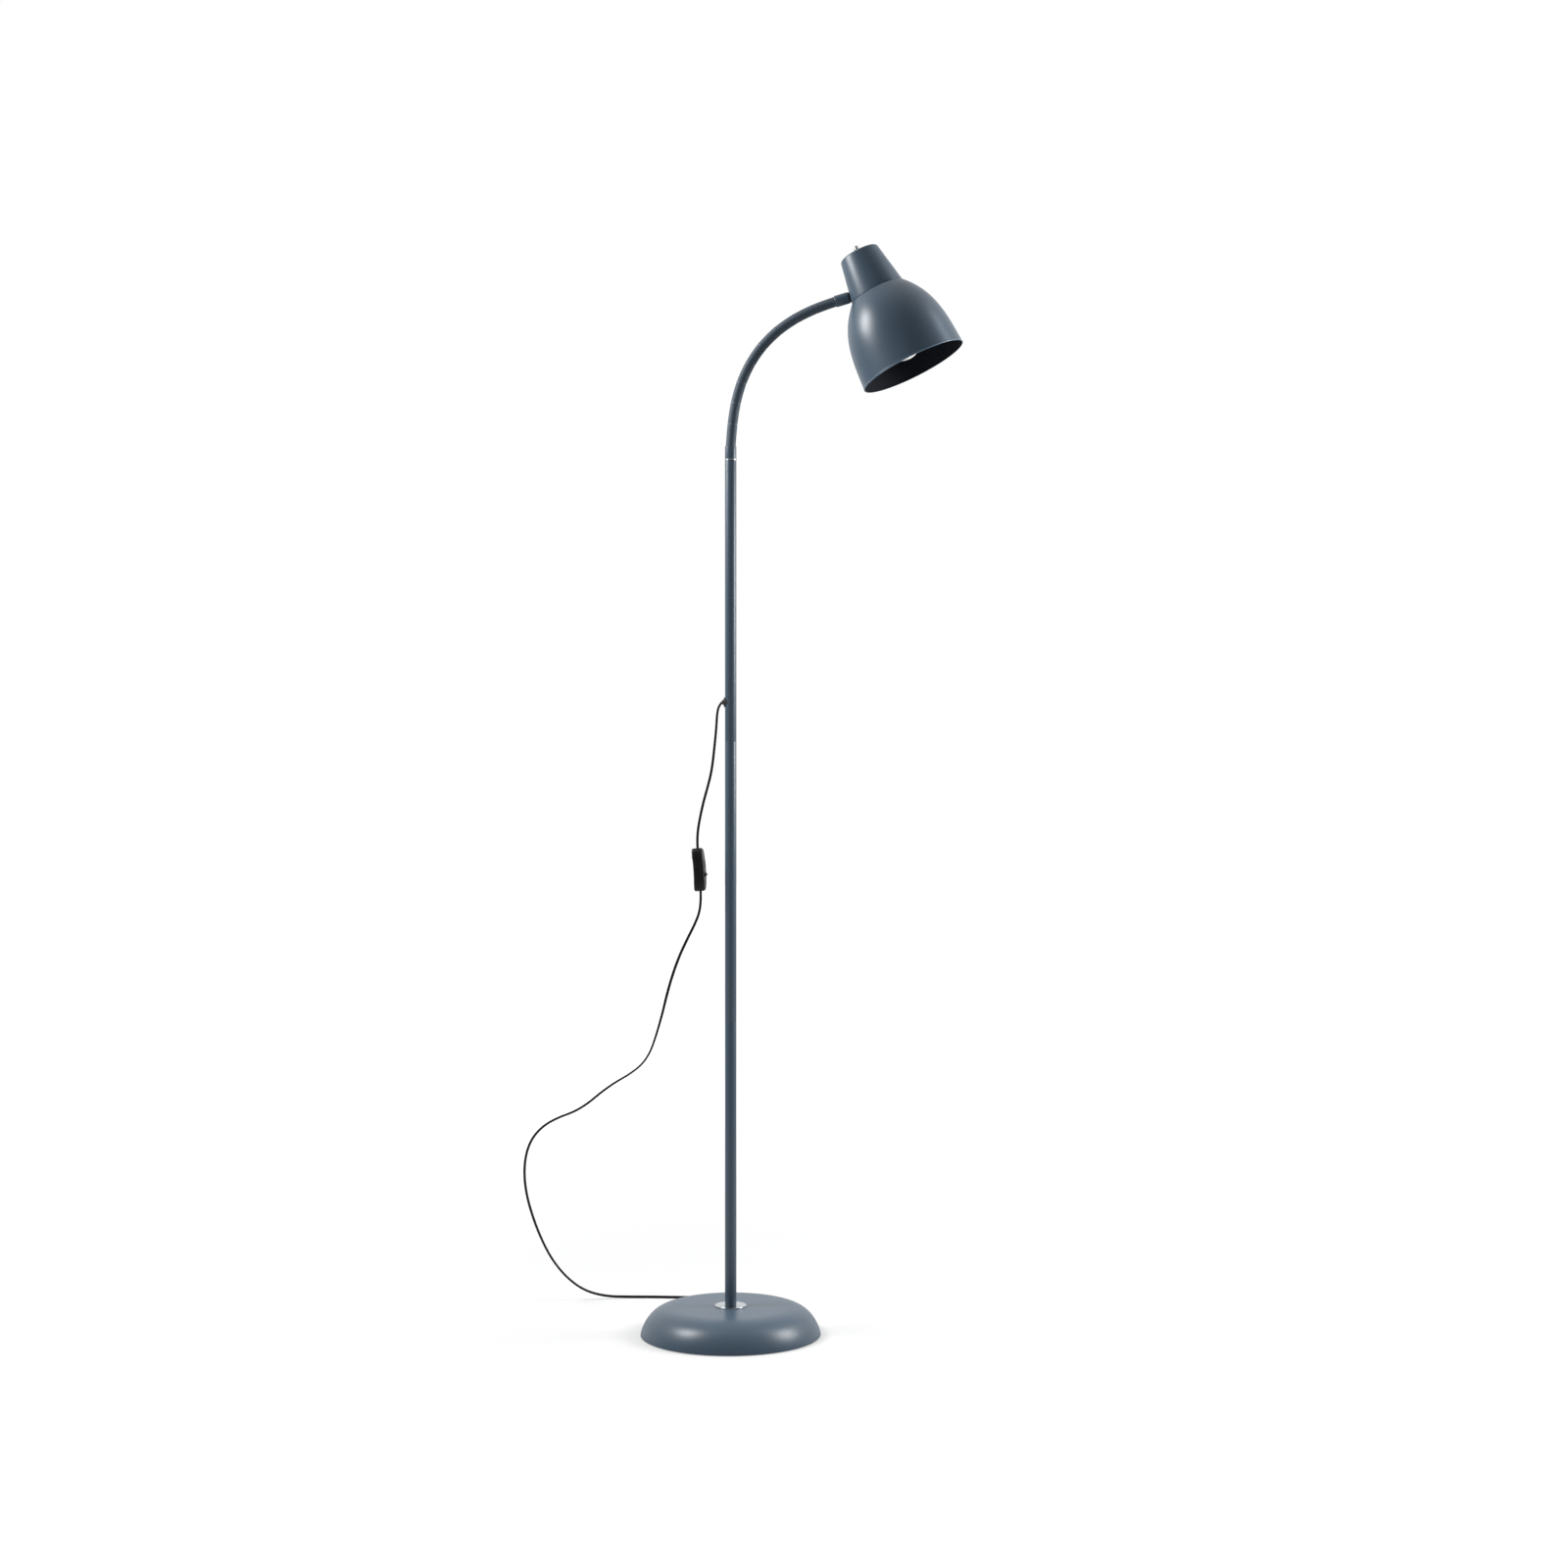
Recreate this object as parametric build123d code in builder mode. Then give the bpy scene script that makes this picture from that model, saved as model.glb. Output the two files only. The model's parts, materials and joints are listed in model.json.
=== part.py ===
from build123d import *
import os
from math import atan, cos, degrees, hypot, pi, radians, sin, sqrt, tan

# Gooseneck reading floor lamp, in millimetres. +Z is up, the origin lies on the pole's axis at the
# floor, and the neck leans over towards +X. The head hangs from the neck's end.

os.makedirs("parts", exist_ok=True)

# ---------------------------------------------------------------- fits
FREE = 0.3  # between curved faces of pieces that move past each other
SLIP = 0.05  # running and push fits, on the radius

# ---------------------------------------------------------------- base
BASE_R = 125
BASE_H = 39.5
BASE_TOP_R = 71  # where the rounded edge starts to fall away
BASE_EDGE_OUT = 0.645  # how full the rounded edge is, outwards
BASE_EDGE_UP = 1.5  # and upwards
BASE_EDGE_STEPS = 6
SHELL_T = 1.6
SHELL_GAP = 1.0  # under the shell's lower edge
PAD_T = 2.0
PAD_INSET = 13  # from the shell's widest edge
WEIGHT_INSET = 10
WEIGHT_RIM_H = 10
WEIGHT_TOP_INSET = 27
WEIGHT_H = 25
HUB_R = 28
HUB_TOP_R = 24
RING_R = 22
RING_T = 1.5
BOLT_R = 5
BOLT_HEAD_AF = 17
BOLT_HEAD_H = 6
BOLT_HEAD_EDGE = 0.8
BOLT_POINT_EDGE = 1.0
BOLT_IN_INSERT = 24
WASHER_R = 11
WASHER_T = 2
LOCK_WASHER_R = 9
LOCK_WASHER_T = 2
BOLT_RECESS_R = 13
BOLT_RECESS_CLEAR = 0.5  # between the bolt's head and the pad

# ---------------------------------------------------------------- pole
POLE_R = 8
POLE_WALL = 1.0
SECTION_L = 391
SECTIONS = 3
POLE_EDGE = 0.25
INSERT_L = 30
COUPLER_L = 50
COUPLER_BORE_R = 4.5
TOP_INSERT_L = 22
RIM_TOLERANCE = 0.01  # for finding a rim by its length

# ---------------------------------------------------------------- cable and cord
CORD_D = 3.4
CORD_BEND = 0.45  # share of the shorter run that an arc takes up
CORD_HOLE_CLEAR = 0.15
EXIT_ABOVE_SEAM = 54.5  # from the lower end of the top section
GROMMET_FLANGE_R = 7
GROMMET_FLANGE_T = 1.8
GROMMET_NECK_R = 4.2
GROMMET_SNOUT_L = 2.6
GROMMET_SNOUT_R = 3.4
GROMMET_SNOUT_TAPER = 12
GROMMET_INSIDE = 1.2  # how far the grommet reaches inside the pole's bore
CABLE_TURN_R = 5
CABLE_CLAMP_H = 8
CABLE_CLAMP_T = 2.2
CABLE_CLAMP_ABOVE = 22

# ---------------------------------------------------------------- neck
COLLAR_H = 19
COLLAR_CHAMFER = 0.9
NECK_R = 7
NECK_BORE_R = 4
NECK_LENGTH = 288  # centreline, from the collar to the cup's wall
NECK_START_ANGLE = 4.2  # from vertical, where it leaves the collar
NECK_END_ANGLE = 74.6
FERRULE_L = 23
FERRULE_R = 8
LINKS = 9
SPIGOT_R = 5
SPIGOT_L = 9
SPIGOT_BORE_R = 3.5
NIPPLE_R = 5
NIPPLE_BORE_R = 3.5
NIPPLE_IN_INSERT = 18
NIPPLE_IN_COLLAR = 8
NIPPLE_IN_CUP = 9
NUT_AF = 14
NUT_H = 4
NECK_WASHER_R = 7
NECK_WASHER_T = 2

# ---------------------------------------------------------------- head
CUP_MOUTH_R = 38.6
CUP_TOP_R = 27.7
CUP_H = 60
CUP_WALL = 1.2
CUP_EDGE_R = 4
NECK_ABOVE_SEAM = 11
SHADE_R = 75
SHADE_H = 115
SHADE_WALL = 1.0
SHADE_FLANGE_T = 1.2
SHADE_FLARE = 0.18  # share of the bell's growth that is a straight cone
SHADE_ROUND = 3.5  # how fast the rest of it rounds over
SHADE_STATIONS = 9
SHADE_CROWDING = 1.3  # how much closer together they lie near the seam
HOLDER_R = 20
HOLDER_BELOW = 16.4  # mouth of the holder, under the seam
HOLDER_ABOVE = 32
HOLDER_CAP_H = 7
HOLDER_CAP_R = 14
HOLDER_SHOULDER_R = 24.5
HOLDER_SHOULDER_T = 3
HOLDER_CONTACT_T = 1.0
SHADE_RING_R = 26
SHADE_RING_H = 7
THREAD_SHELL_T = 0.5
THREAD_SHELL_INSET = 3
BULB_R = 30
BULB_L = 114
BULB_TIP_ABOVE = 9.6  # the seam
BULB_SHOULDER_ANGLE = 35  # above the globe's equator, where it leaves the sphere
BULB_CAP_R = 13.2
BULB_CAP_T = 0.8
BULB_CAP_L = 24
BULB_CAP_CONE = 3
BULB_IN_CAP = 6
GLASS_T = 0.8
TIP_R = 4.5
TIP_H = 2
BRACKET_W = 12
BRACKET_T = 1.5
BRACKET_OVERLAP = 14  # of a leg on the holder's side
BRACKET_SCREW_R = 1.5
BRACKET_SCREW_L = 7
BRACKET_SCREW_HEAD_R = 2.6
BRACKET_SCREW_HEAD_H = 1.5
KNOB_R = 3.8
KNOB_H = 11.5
KNOB_FOOT_EDGE = 0.6
KNOB_EDGE = 1.2
KNOB_SCREW_R = 2.5
KNOB_NUT_AF = 8
KNOB_NUT_H = 3.5
KNOB_SCREW_PAST_NUT = 1

# ---------------------------------------------------------------- switch on the cord
SWITCH_L = 60
SWITCH_W = 26
SWITCH_BACK_T = 7.5
SWITCH_FRONT_T = 7.5
SWITCH_X = -44.4
SWITCH_Z = 645
SWITCH_LEAN = -4.0  # of its long axis, from vertical
SWITCH_CORNER_R = 8
SWITCH_EDGE_R = 2.5
SWITCH_WALL = 1.8
SWITCH_END_WALL = 6
SWITCH_CAVITY_R = 3
CORD_IN_SWITCH = 10
CORD_STRAIGHT_OUT = 8
ROCKER_L = 19
ROCKER_W = 12
ROCKER_TILT = 8  # to each side
ROCKER_DISH = 1.3
ROCKER_PROUD = 2.2
ROCKER_DEPTH = 5
ROCKER_SIDE_CLEAR = 0.4
PIN_R = 1.2
PIN_OVERHANG = 2.6
PIN_DEPTH = 3.2  # under the switch's front face
BOSS_HALF_L = 3.5
BOSS_WALL = 0.5  # past each end of the pin
SWITCH_SCREW_R = 1.2
SWITCH_SCREW_HEAD_R = 2.4
SWITCH_SCREW_HEAD_H = 1.6
SWITCH_SCREW_END = 1.0  # left free under it
SWITCH_BOSS_R = 3.0
SWITCH_SCREW_ALONG = 18
SWITCH_SCREW_ACROSS = 8.4
CLAMP_L = 4
CLAMP_W = 9
CLAMP_T = 1.6
CONTACT_L = 8
CONTACT_W = 5
CONTACT_T = 1.2
CONTACT_ALONG = 11

# ---------------------------------------------------------------- coil and plug, behind the base
COIL_X = -45
COIL_Y = 188
COIL_R = 22
COIL_SECTION = 9
COIL_EDGE_R = 3
TIE_W = 9
TIE_T = 0.8
TIE_SLACK = 0.6
PLUG_L = 35
PLUG_W = 26
PLUG_T = 13.7
PLUG_NECK_W = 10
PLUG_RELIEF_L = 20
PLUG_RELIEF_FOOT_R = 4
PLUG_RELIEF_TAPER = 3
PLUG_EDGE_R = 1.5
PLUG_PIN_R = 2
PLUG_PIN_L = 19
PLUG_PIN_SPACING = 18.6
PLUG_PIN_IN_BODY = 8
PLUG_STEM_R = 1.5  # of a pin inside the body and its sleeve
PLUG_SLEEVE_L = 10  # flush with the bare end of the pin
PLUG_SHOULDER = 9  # length over which the body widens
PLUG_X = -8
PLUG_Y = 143
PLUG_TURN = 180  # direction of its pins, from +X
CORD_IN_PLUG = 5

# ---------------------------------------------------------------- routes of the cord, chosen by hand
CORD_UPPER = [
    (-12.5, 0, 877.5),
    (-17, 0, 872),
    (-19.2, 0, 861),
    (-20.2, 0.5, 843),
    (-22.6, 1, 819),
    (-26.4, 0.5, 784),
    (-32, 0, 761),
    (-37.8, 0, 741),
    (-42.8, 0, 719),
    (-46.2, 0, 700),
]
CORD_LOWER = [
    (-43.4, 0, 587),
    (-50, 0.5, 570),
    (-61.5, 2, 548),
    (-73.5, 4, 523),
    (-83.5, 6, 496),
    (-91.5, 8, 469),
    (-98.5, 10, 441),
    (-107, 12, 413),
    (-115.5, 14, 389),
    (-128, 17, 370.5),
    (-147, 20, 356),
    (-168, 23, 344),
    (-189, 26, 329),
    (-208, 30, 313),
    (-229, 34, 300),
    (-253, 38, 291),
    (-276, 44, 278),
    (-295, 54, 258),
    (-307, 67, 232),
    (-313, 83, 200),
    (-313, 101, 166),
    (-308, 119, 132),
    (-300, 137, 98),
    (-288, 154, 65),
    (-270, 170, 36),
    (-246, 184, 14),
    (-216, 196, 3.6),
    (-182, 204, 2.1),
    (-148, 208, 2.1),
    (-112, 209.5, 2.2),
    (-84, 210, 2.6),
    (-60, 210, 3.2),
]
CORD_TAIL = [
    (-31, 210, 6),
    (-12, 209.5, 4.2),
    (7, 202, 2.4),
    (20, 189, 2.1),
    (26, 173, 2.1),
    (23, 157, 2.8),
    (13, 146.5, 5.2),
]

# ---------------------------------------------------------------- worked-out places
shell_bottom = SHELL_GAP
weight_top = BASE_H - SHELL_T
bolt_head_bottom = PAD_T + BOLT_RECESS_CLEAR
lock_washer_bottom = bolt_head_bottom + BOLT_HEAD_H
washer_bottom = lock_washer_bottom + LOCK_WASHER_T
recess_top = washer_bottom + WASHER_T
pole_bottom = BASE_H + RING_T
pole_top = pole_bottom + SECTIONS * SECTION_L
pole_bore_r = POLE_R - POLE_WALL
exit_z = pole_bottom + (SECTIONS - 1) * SECTION_L + EXIT_ABOVE_SEAM
collar_top = pole_top + COLLAR_H
ball_r = NECK_R
socket_r = NECK_R + FREE
link_pitch = (NECK_LENGTH - FERRULE_L) / LINKS


def write(piece, label):
    """Name a finished piece and write it as its own STEP file."""
    piece.part.label = label
    export_step(piece.part, f"parts/{label}.step")


def leaning(origin, angle):
    """A plane for turned profiles: its Y axis leans from vertical towards +X by angle, in degrees."""
    lean = radians(angle)
    return Plane(origin=origin, x_dir=(cos(lean), 0, -sin(lean)), z_dir=(0, -1, 0))


def turned(label, plane, outline):
    """Write a piece turned about the plane's Y axis from a closed outline of (radius, height)."""
    with BuildPart() as piece:
        with BuildSketch(plane):
            with BuildLine():
                Polyline(*outline, close=True)
            make_face()
        revolve(axis=Axis(plane.origin, plane.y_dir))
    write(piece, label)
    return piece


def sleeve(label, plane, bore_r, outer_r, low, high):
    """Write a plain tube or washer about the plane's Y axis."""
    outline = [(bore_r, low), (outer_r, low), (outer_r, high), (bore_r, high)]
    return turned(label, plane, outline)


def point_on(plane, radius, height):
    """The point at that radius and height in a profile plane."""
    return plane.origin + plane.x_dir * radius + plane.y_dir * height


def rims(piece, radius):
    """The piece's whole circular edges of that radius, lowest first."""
    whole = 2 * pi * radius
    found = piece.edges().filter_by(lambda edge: abs(edge.length - whole) < RIM_TOLERANCE)
    return found.sort_by(Axis.Z)


def cord_tube(label, points):
    """Write a round cord: straight runs joined by arcs, each as large as its two runs allow."""
    arcs = []
    for before, corner, after in zip(points, points[1:], points[2:]):
        run_in = Vector(*corner) - Vector(*before)
        run_out = Vector(*after) - Vector(*corner)
        half_turn = radians(run_in.get_angle(run_out) / 2)
        arcs.append(CORD_BEND * min(run_in.length, run_out.length) / tan(half_turn))
    with BuildPart() as tube:
        with BuildLine():
            route = FilletPolyline(*points, radius=arcs)
        with BuildSketch(Plane(origin=route @ 0, z_dir=route % 0)):
            Circle(CORD_D / 2)
        sweep()
    expected = route.length * pi * CORD_D**2 / 4
    print(label, "length", round(route.length, 1), "volume ratio", round(tube.part.volume / expected, 4))
    print("  arc radii", [round(radius, 1) for radius in arcs])
    write(tube, label)


# ================================================================ base
def base_edge(inset, low):
    """Points of the rounded edge from its lowest point to the flat top, moved inwards by inset.

    The radius grows with the cosine and the height with the sine of one angle, each to a power.
    """
    edge = []
    for step in range(BASE_EDGE_STEPS + 1):
        angle = radians(90 * step / BASE_EDGE_STEPS)
        across = cos(angle) ** BASE_EDGE_OUT if step < BASE_EDGE_STEPS else 0
        height = low + (BASE_H - inset - low) * sin(angle) ** BASE_EDGE_UP
        edge.append((BASE_TOP_R + (BASE_R - inset - BASE_TOP_R) * across, height))
    return edge


with BuildPart() as base_shell:
    with BuildSketch(Plane.XZ):
        with BuildLine():
            outer = Spline(*base_edge(0, shell_bottom), tangents=[(0, 1), (-1, 0)])
            inner = Spline(*base_edge(SHELL_T, shell_bottom), tangents=[(0, 1), (-1, 0)])
            Line(outer @ 0, inner @ 0)
            Polyline(
                outer @ 1,
                (BOLT_R + SLIP, BASE_H),
                (BOLT_R + SLIP, BASE_H - SHELL_T),
                inner @ 1,
            )
        make_face()
    revolve(axis=Axis.Z)
write(base_shell, "base_shell")

turned(
    "base_weight",
    Plane.XZ,
    [
        (BOLT_R + FREE, recess_top),
        (BOLT_RECESS_R, recess_top),
        (BOLT_RECESS_R, PAD_T),
        (BASE_R - WEIGHT_INSET, PAD_T),
        (BASE_R - WEIGHT_INSET, PAD_T + WEIGHT_RIM_H),
        (BASE_R - WEIGHT_TOP_INSET, WEIGHT_H),
        (HUB_R, WEIGHT_H),
        (HUB_TOP_R, weight_top),
        (BOLT_R + FREE, weight_top),
    ],
)
with BuildPart() as base_pad:
    with BuildSketch(Plane.XY):
        Circle(BASE_R - PAD_INSET)
    extrude(amount=PAD_T)
write(base_pad, "base_pad")

with BuildPart() as base_ring:
    with BuildSketch(Plane.XY.offset(BASE_H)):
        Circle(RING_R)
        Circle(BOLT_R + SLIP, mode=Mode.SUBTRACT)
    extrude(amount=RING_T)
    fillet(rims(base_ring, RING_R)[-1], RING_T / 2)
write(base_ring, "base_ring")

with BuildPart() as base_bolt:
    with BuildSketch(Plane.XY.offset(bolt_head_bottom)):
        RegularPolygon(BOLT_HEAD_AF / 2, 6, major_radius=False)
    extrude(amount=BOLT_HEAD_H)
    chamfer(base_bolt.edges().group_by(Axis.Z)[0], BOLT_HEAD_EDGE)
    with BuildSketch(Plane.XY.offset(lock_washer_bottom)):
        Circle(BOLT_R)
    extrude(amount=pole_bottom + BOLT_IN_INSERT - lock_washer_bottom)
    chamfer(base_bolt.edges().group_by(Axis.Z)[-1], BOLT_POINT_EDGE)
write(base_bolt, "base_bolt")
sleeve("base_lock_washer", Plane.XZ, BOLT_R + SLIP, LOCK_WASHER_R, lock_washer_bottom, washer_bottom)
sleeve("base_washer", Plane.XZ, BOLT_R + SLIP, WASHER_R, washer_bottom, recess_top)

# ================================================================ pole
sleeve(
    "foot_insert", Plane.XZ, BOLT_R + SLIP, pole_bore_r - SLIP, pole_bottom, pole_bottom + INSERT_L
)
for index, label in enumerate(["pole_lower", "pole_middle", "pole_upper"]):
    low = pole_bottom + index * SECTION_L
    with BuildPart() as section:
        with BuildSketch(Plane.XY.offset(low)):
            Circle(POLE_R)
            Circle(pole_bore_r, mode=Mode.SUBTRACT)
        extrude(amount=SECTION_L)
        chamfer(rims(section, POLE_R), POLE_EDGE)
        if low < exit_z < low + SECTION_L:
            with BuildSketch(Plane.YZ):
                with Locations((0, exit_z)):
                    Circle(GROMMET_NECK_R + SLIP)
            extrude(amount=-2 * POLE_R, mode=Mode.SUBTRACT)
    write(section, label)

for index, label in enumerate(["pole_coupler_lower", "pole_coupler_upper"]):
    seam = pole_bottom + (index + 1) * SECTION_L
    sleeve(
        label, Plane.XZ, COUPLER_BORE_R, pole_bore_r - SLIP, seam - COUPLER_L / 2, seam + COUPLER_L / 2
    )
sleeve(
    "pole_top_insert", Plane.XZ, NIPPLE_R + SLIP, pole_bore_r - SLIP, pole_top - TOP_INSERT_L, pole_top
)

# ================================================================ where the cord leaves the pole
cord_r = CORD_D / 2
cord_hole_r = cord_r + CORD_HOLE_CLEAR
cord_inner_end = pole_bore_r - GROMMET_INSIDE
with BuildPart() as cord_grommet:
    # the flange is a saddle: a disc's shadow on a ring that wraps the pole
    with BuildSketch(Plane.XY.offset(exit_z - GROMMET_FLANGE_R)):
        Circle(POLE_R + GROMMET_FLANGE_T)
        Circle(POLE_R + SLIP / 2, mode=Mode.SUBTRACT)
    extrude(amount=2 * GROMMET_FLANGE_R)
    with BuildSketch(Plane.YZ.offset(-POLE_R - GROMMET_FLANGE_T)):
        with Locations((0, exit_z)):
            Circle(GROMMET_FLANGE_R)
    extrude(amount=POLE_R + GROMMET_FLANGE_T, mode=Mode.INTERSECT)
    with BuildSketch(Plane.YZ.offset(-POLE_R - GROMMET_FLANGE_T / 2)):
        with Locations((0, exit_z)):
            Circle(GROMMET_NECK_R)
    extrude(amount=GROMMET_FLANGE_T / 2 + POLE_WALL + GROMMET_INSIDE)
    with BuildSketch(Plane.YZ.offset(-POLE_R - GROMMET_FLANGE_T / 2)):
        with Locations((0, exit_z)):
            Circle(GROMMET_SNOUT_R)
    extrude(amount=-GROMMET_FLANGE_T / 2 - GROMMET_SNOUT_L, taper=GROMMET_SNOUT_TAPER)
    with BuildSketch(Plane.YZ.offset(-2 * POLE_R)):
        with Locations((0, exit_z)):
            Circle(cord_hole_r)
    extrude(amount=2 * POLE_R, mode=Mode.SUBTRACT)
write(cord_grommet, "cord_grommet")

with BuildPart() as pole_cable:
    with BuildLine():
        cable_route = FilletPolyline(
            (-cord_inner_end, 0, exit_z),
            (0, 0, exit_z),
            (0, 0, pole_top + NIPPLE_IN_COLLAR),
            radius=CABLE_TURN_R,
        )
    with BuildSketch(Plane(origin=cable_route @ 0, z_dir=cable_route % 0)):
        Circle(cord_r)
    sweep()
write(pole_cable, "pole_cable")
clamp_bottom = exit_z + CABLE_CLAMP_ABOVE
sleeve(
    "cable_clamp",
    Plane.XZ,
    cord_r + SLIP,
    cord_r + CABLE_CLAMP_T,
    clamp_bottom,
    clamp_bottom + CABLE_CLAMP_H,
)

# ================================================================ neck
turned(
    "neck_collar",
    Plane.XZ,
    [
        (SPIGOT_R, pole_top),
        (POLE_R, pole_top),
        (POLE_R, collar_top - COLLAR_CHAMFER),
        (POLE_R - COLLAR_CHAMFER, collar_top),
        (SPIGOT_R, collar_top),
    ],
)
sleeve(
    "neck_nipple_lower",
    Plane.XZ,
    NIPPLE_BORE_R,
    NIPPLE_R,
    pole_top - NIPPLE_IN_INSERT,
    pole_top + NIPPLE_IN_COLLAR,
)


def neck_lean(along):
    """Angle of the neck from vertical: it eases in and out along the length, as 3u^2 - 2u^3."""
    share = along / NECK_LENGTH
    return NECK_START_ANGLE + (NECK_END_ANGLE - NECK_START_ANGLE) * (3 * share**2 - 2 * share**3)


link_angles = [neck_lean((index + 0.5) * link_pitch) for index in range(LINKS)]
hinges = [Vector(0, 0, collar_top)]
for angle in link_angles:
    hinges.append(point_on(leaning(hinges[-1], angle), 0, link_pitch))
ferrule_plane = leaning(hinges[-1], NECK_END_ANGLE)
print("hinge points", [(round(point.X, 2), round(point.Z, 2)) for point in hinges])
print("link angles", [round(angle, 3) for angle in link_angles])


def ball_height(radius, at):
    """Height over its centre of a ball of that radius, at a distance from the axis."""
    return sqrt(radius**2 - at**2)


mid_wall_r = (NECK_R + NECK_BORE_R) / 2
for index, angle in enumerate(link_angles):
    plane = leaning(hinges[index], angle)
    with BuildPart() as link:
        with BuildSketch(plane):
            with BuildLine():
                # the upper end is a ball about the next hinge point
                ThreePointArc(
                    (NECK_BORE_R, link_pitch + ball_height(ball_r, NECK_BORE_R)),
                    (mid_wall_r, link_pitch + ball_height(ball_r, mid_wall_r)),
                    (NECK_R, link_pitch),
                )
                if index == 0:
                    Polyline(
                        (NECK_R, link_pitch),
                        (NECK_R, -SPIGOT_R),
                        (NECK_BORE_R, -SPIGOT_R),
                        (NECK_BORE_R, link_pitch + ball_height(ball_r, NECK_BORE_R)),
                    )
                else:
                    # the others sit over the ball below with a socket about the same point
                    Line((NECK_R, link_pitch), (NECK_R, ball_height(socket_r, NECK_R)))
                    ThreePointArc(
                        (NECK_R, ball_height(socket_r, NECK_R)),
                        (mid_wall_r, ball_height(socket_r, mid_wall_r)),
                        (NECK_BORE_R, ball_height(socket_r, NECK_BORE_R)),
                    )
                    Line(
                        (NECK_BORE_R, ball_height(socket_r, NECK_BORE_R)),
                        (NECK_BORE_R, link_pitch + ball_height(ball_r, NECK_BORE_R)),
                    )
            make_face()
        revolve(axis=Axis(plane.origin, plane.y_dir))
        if index == 0:
            # the first link leans, is cut level with the collar and turns in it on a spigot
            split(bisect_by=Plane.XY.offset(collar_top + SLIP), keep=Keep.TOP)
            with BuildSketch(Plane.XY.offset(collar_top + SLIP)):
                Circle(SPIGOT_R - SLIP)
                Circle(SPIGOT_BORE_R, mode=Mode.SUBTRACT)
            extrude(amount=-SPIGOT_L)
    write(link, f"neck_link_{index + 1:02d}")

# ================================================================ head: places
cup_taper = (CUP_MOUTH_R - CUP_TOP_R) / CUP_H
cup_half_angle = degrees(atan(cup_taper))
# the neck meets the cup's wall square on, so the wall's own lean sets how far the head tips
head_tilt = 90 - NECK_END_ANGLE + cup_half_angle
wall_r_at_neck = CUP_MOUTH_R - cup_taper * NECK_ABOVE_SEAM
neck_end = point_on(ferrule_plane, 0, FERRULE_L)
seam = point_on(leaning(neck_end, -head_tilt), wall_r_at_neck, -NECK_ABOVE_SEAM)
head_plane = leaning(seam, -head_tilt)
head_axis = Axis(head_plane.origin, head_plane.y_dir)
neck_dir = ferrule_plane.y_dir
cup_inset = CUP_WALL / cos(radians(cup_half_angle))
cup_top_inside = CUP_H - CUP_WALL
cup_inside_r = CUP_MOUTH_R - cup_inset - cup_taper * cup_top_inside
cup_inside_edge = CUP_EDGE_R - CUP_WALL
bulb_crown = BULB_TIP_ABOVE - BULB_L
print("seam", [round(value, 2) for value in seam], "head tilt", round(head_tilt, 2))


def across_neck(along):
    """A plane square to the ferrule's axis, at a distance along it."""
    return Plane(origin=point_on(ferrule_plane, 0, along), z_dir=neck_dir)


def on_head_axis(height):
    """A plane square to the head's axis, at a height over the seam."""
    return Plane(
        origin=point_on(head_plane, 0, height), x_dir=head_plane.x_dir, z_dir=head_plane.y_dir
    )


# ================================================================ head: cup and how the neck holds it
with BuildPart() as cup_form:
    with BuildSketch(head_plane):
        with BuildLine():
            Polyline((0, 0), (CUP_MOUTH_R, 0), (CUP_TOP_R, CUP_H), (0, CUP_H), close=True)
        make_face()
    revolve(axis=head_axis)

with BuildPart() as cup:
    add(cup_form.part)
    fillet(cup.edges().group_by(head_axis)[-1], CUP_EDGE_R)
    with BuildSketch(head_plane):
        with BuildLine():
            Polyline(
                (0, 0),
                (CUP_MOUTH_R - cup_inset, 0),
                (cup_inside_r + cup_taper * cup_inside_edge, cup_top_inside - cup_inside_edge),
                (cup_inside_r - cup_inside_edge, cup_top_inside),
                (0, cup_top_inside),
                close=True,
            )
        make_face()
    revolve(axis=head_axis, mode=Mode.SUBTRACT)
    with BuildSketch(on_head_axis(cup_top_inside)):
        Circle(KNOB_SCREW_R + SLIP)
    extrude(amount=CUP_WALL, mode=Mode.SUBTRACT)
    with BuildSketch(across_neck(FERRULE_L - NECK_WASHER_T)):
        Circle(NIPPLE_R + SLIP)
    extrude(amount=NIPPLE_IN_CUP, mode=Mode.SUBTRACT)
write(cup, "cup")

ferrule_top = FERRULE_L - NECK_WASHER_T
ferrule_foot = ball_height(socket_r, NECK_R)
nipple_foot = ferrule_top - NIPPLE_IN_COLLAR
with BuildPart() as neck_ferrule:
    with BuildSketch(ferrule_plane):
        with BuildLine():
            ThreePointArc(
                (NECK_BORE_R, ball_height(socket_r, NECK_BORE_R)),
                (mid_wall_r, ball_height(socket_r, mid_wall_r)),
                (NECK_R, ferrule_foot),
            )
            Polyline(
                (NECK_R, ferrule_foot),
                (FERRULE_R - COLLAR_CHAMFER, ferrule_foot),
                (FERRULE_R, ferrule_foot + COLLAR_CHAMFER),
                (FERRULE_R, ferrule_top),
                (NIPPLE_R, ferrule_top),
                (NIPPLE_R, nipple_foot),
                (NECK_BORE_R, nipple_foot),
                (NECK_BORE_R, ball_height(socket_r, NECK_BORE_R)),
            )
        make_face()
    revolve(axis=Axis(ferrule_plane.origin, neck_dir))
write(neck_ferrule, "neck_ferrule")

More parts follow.
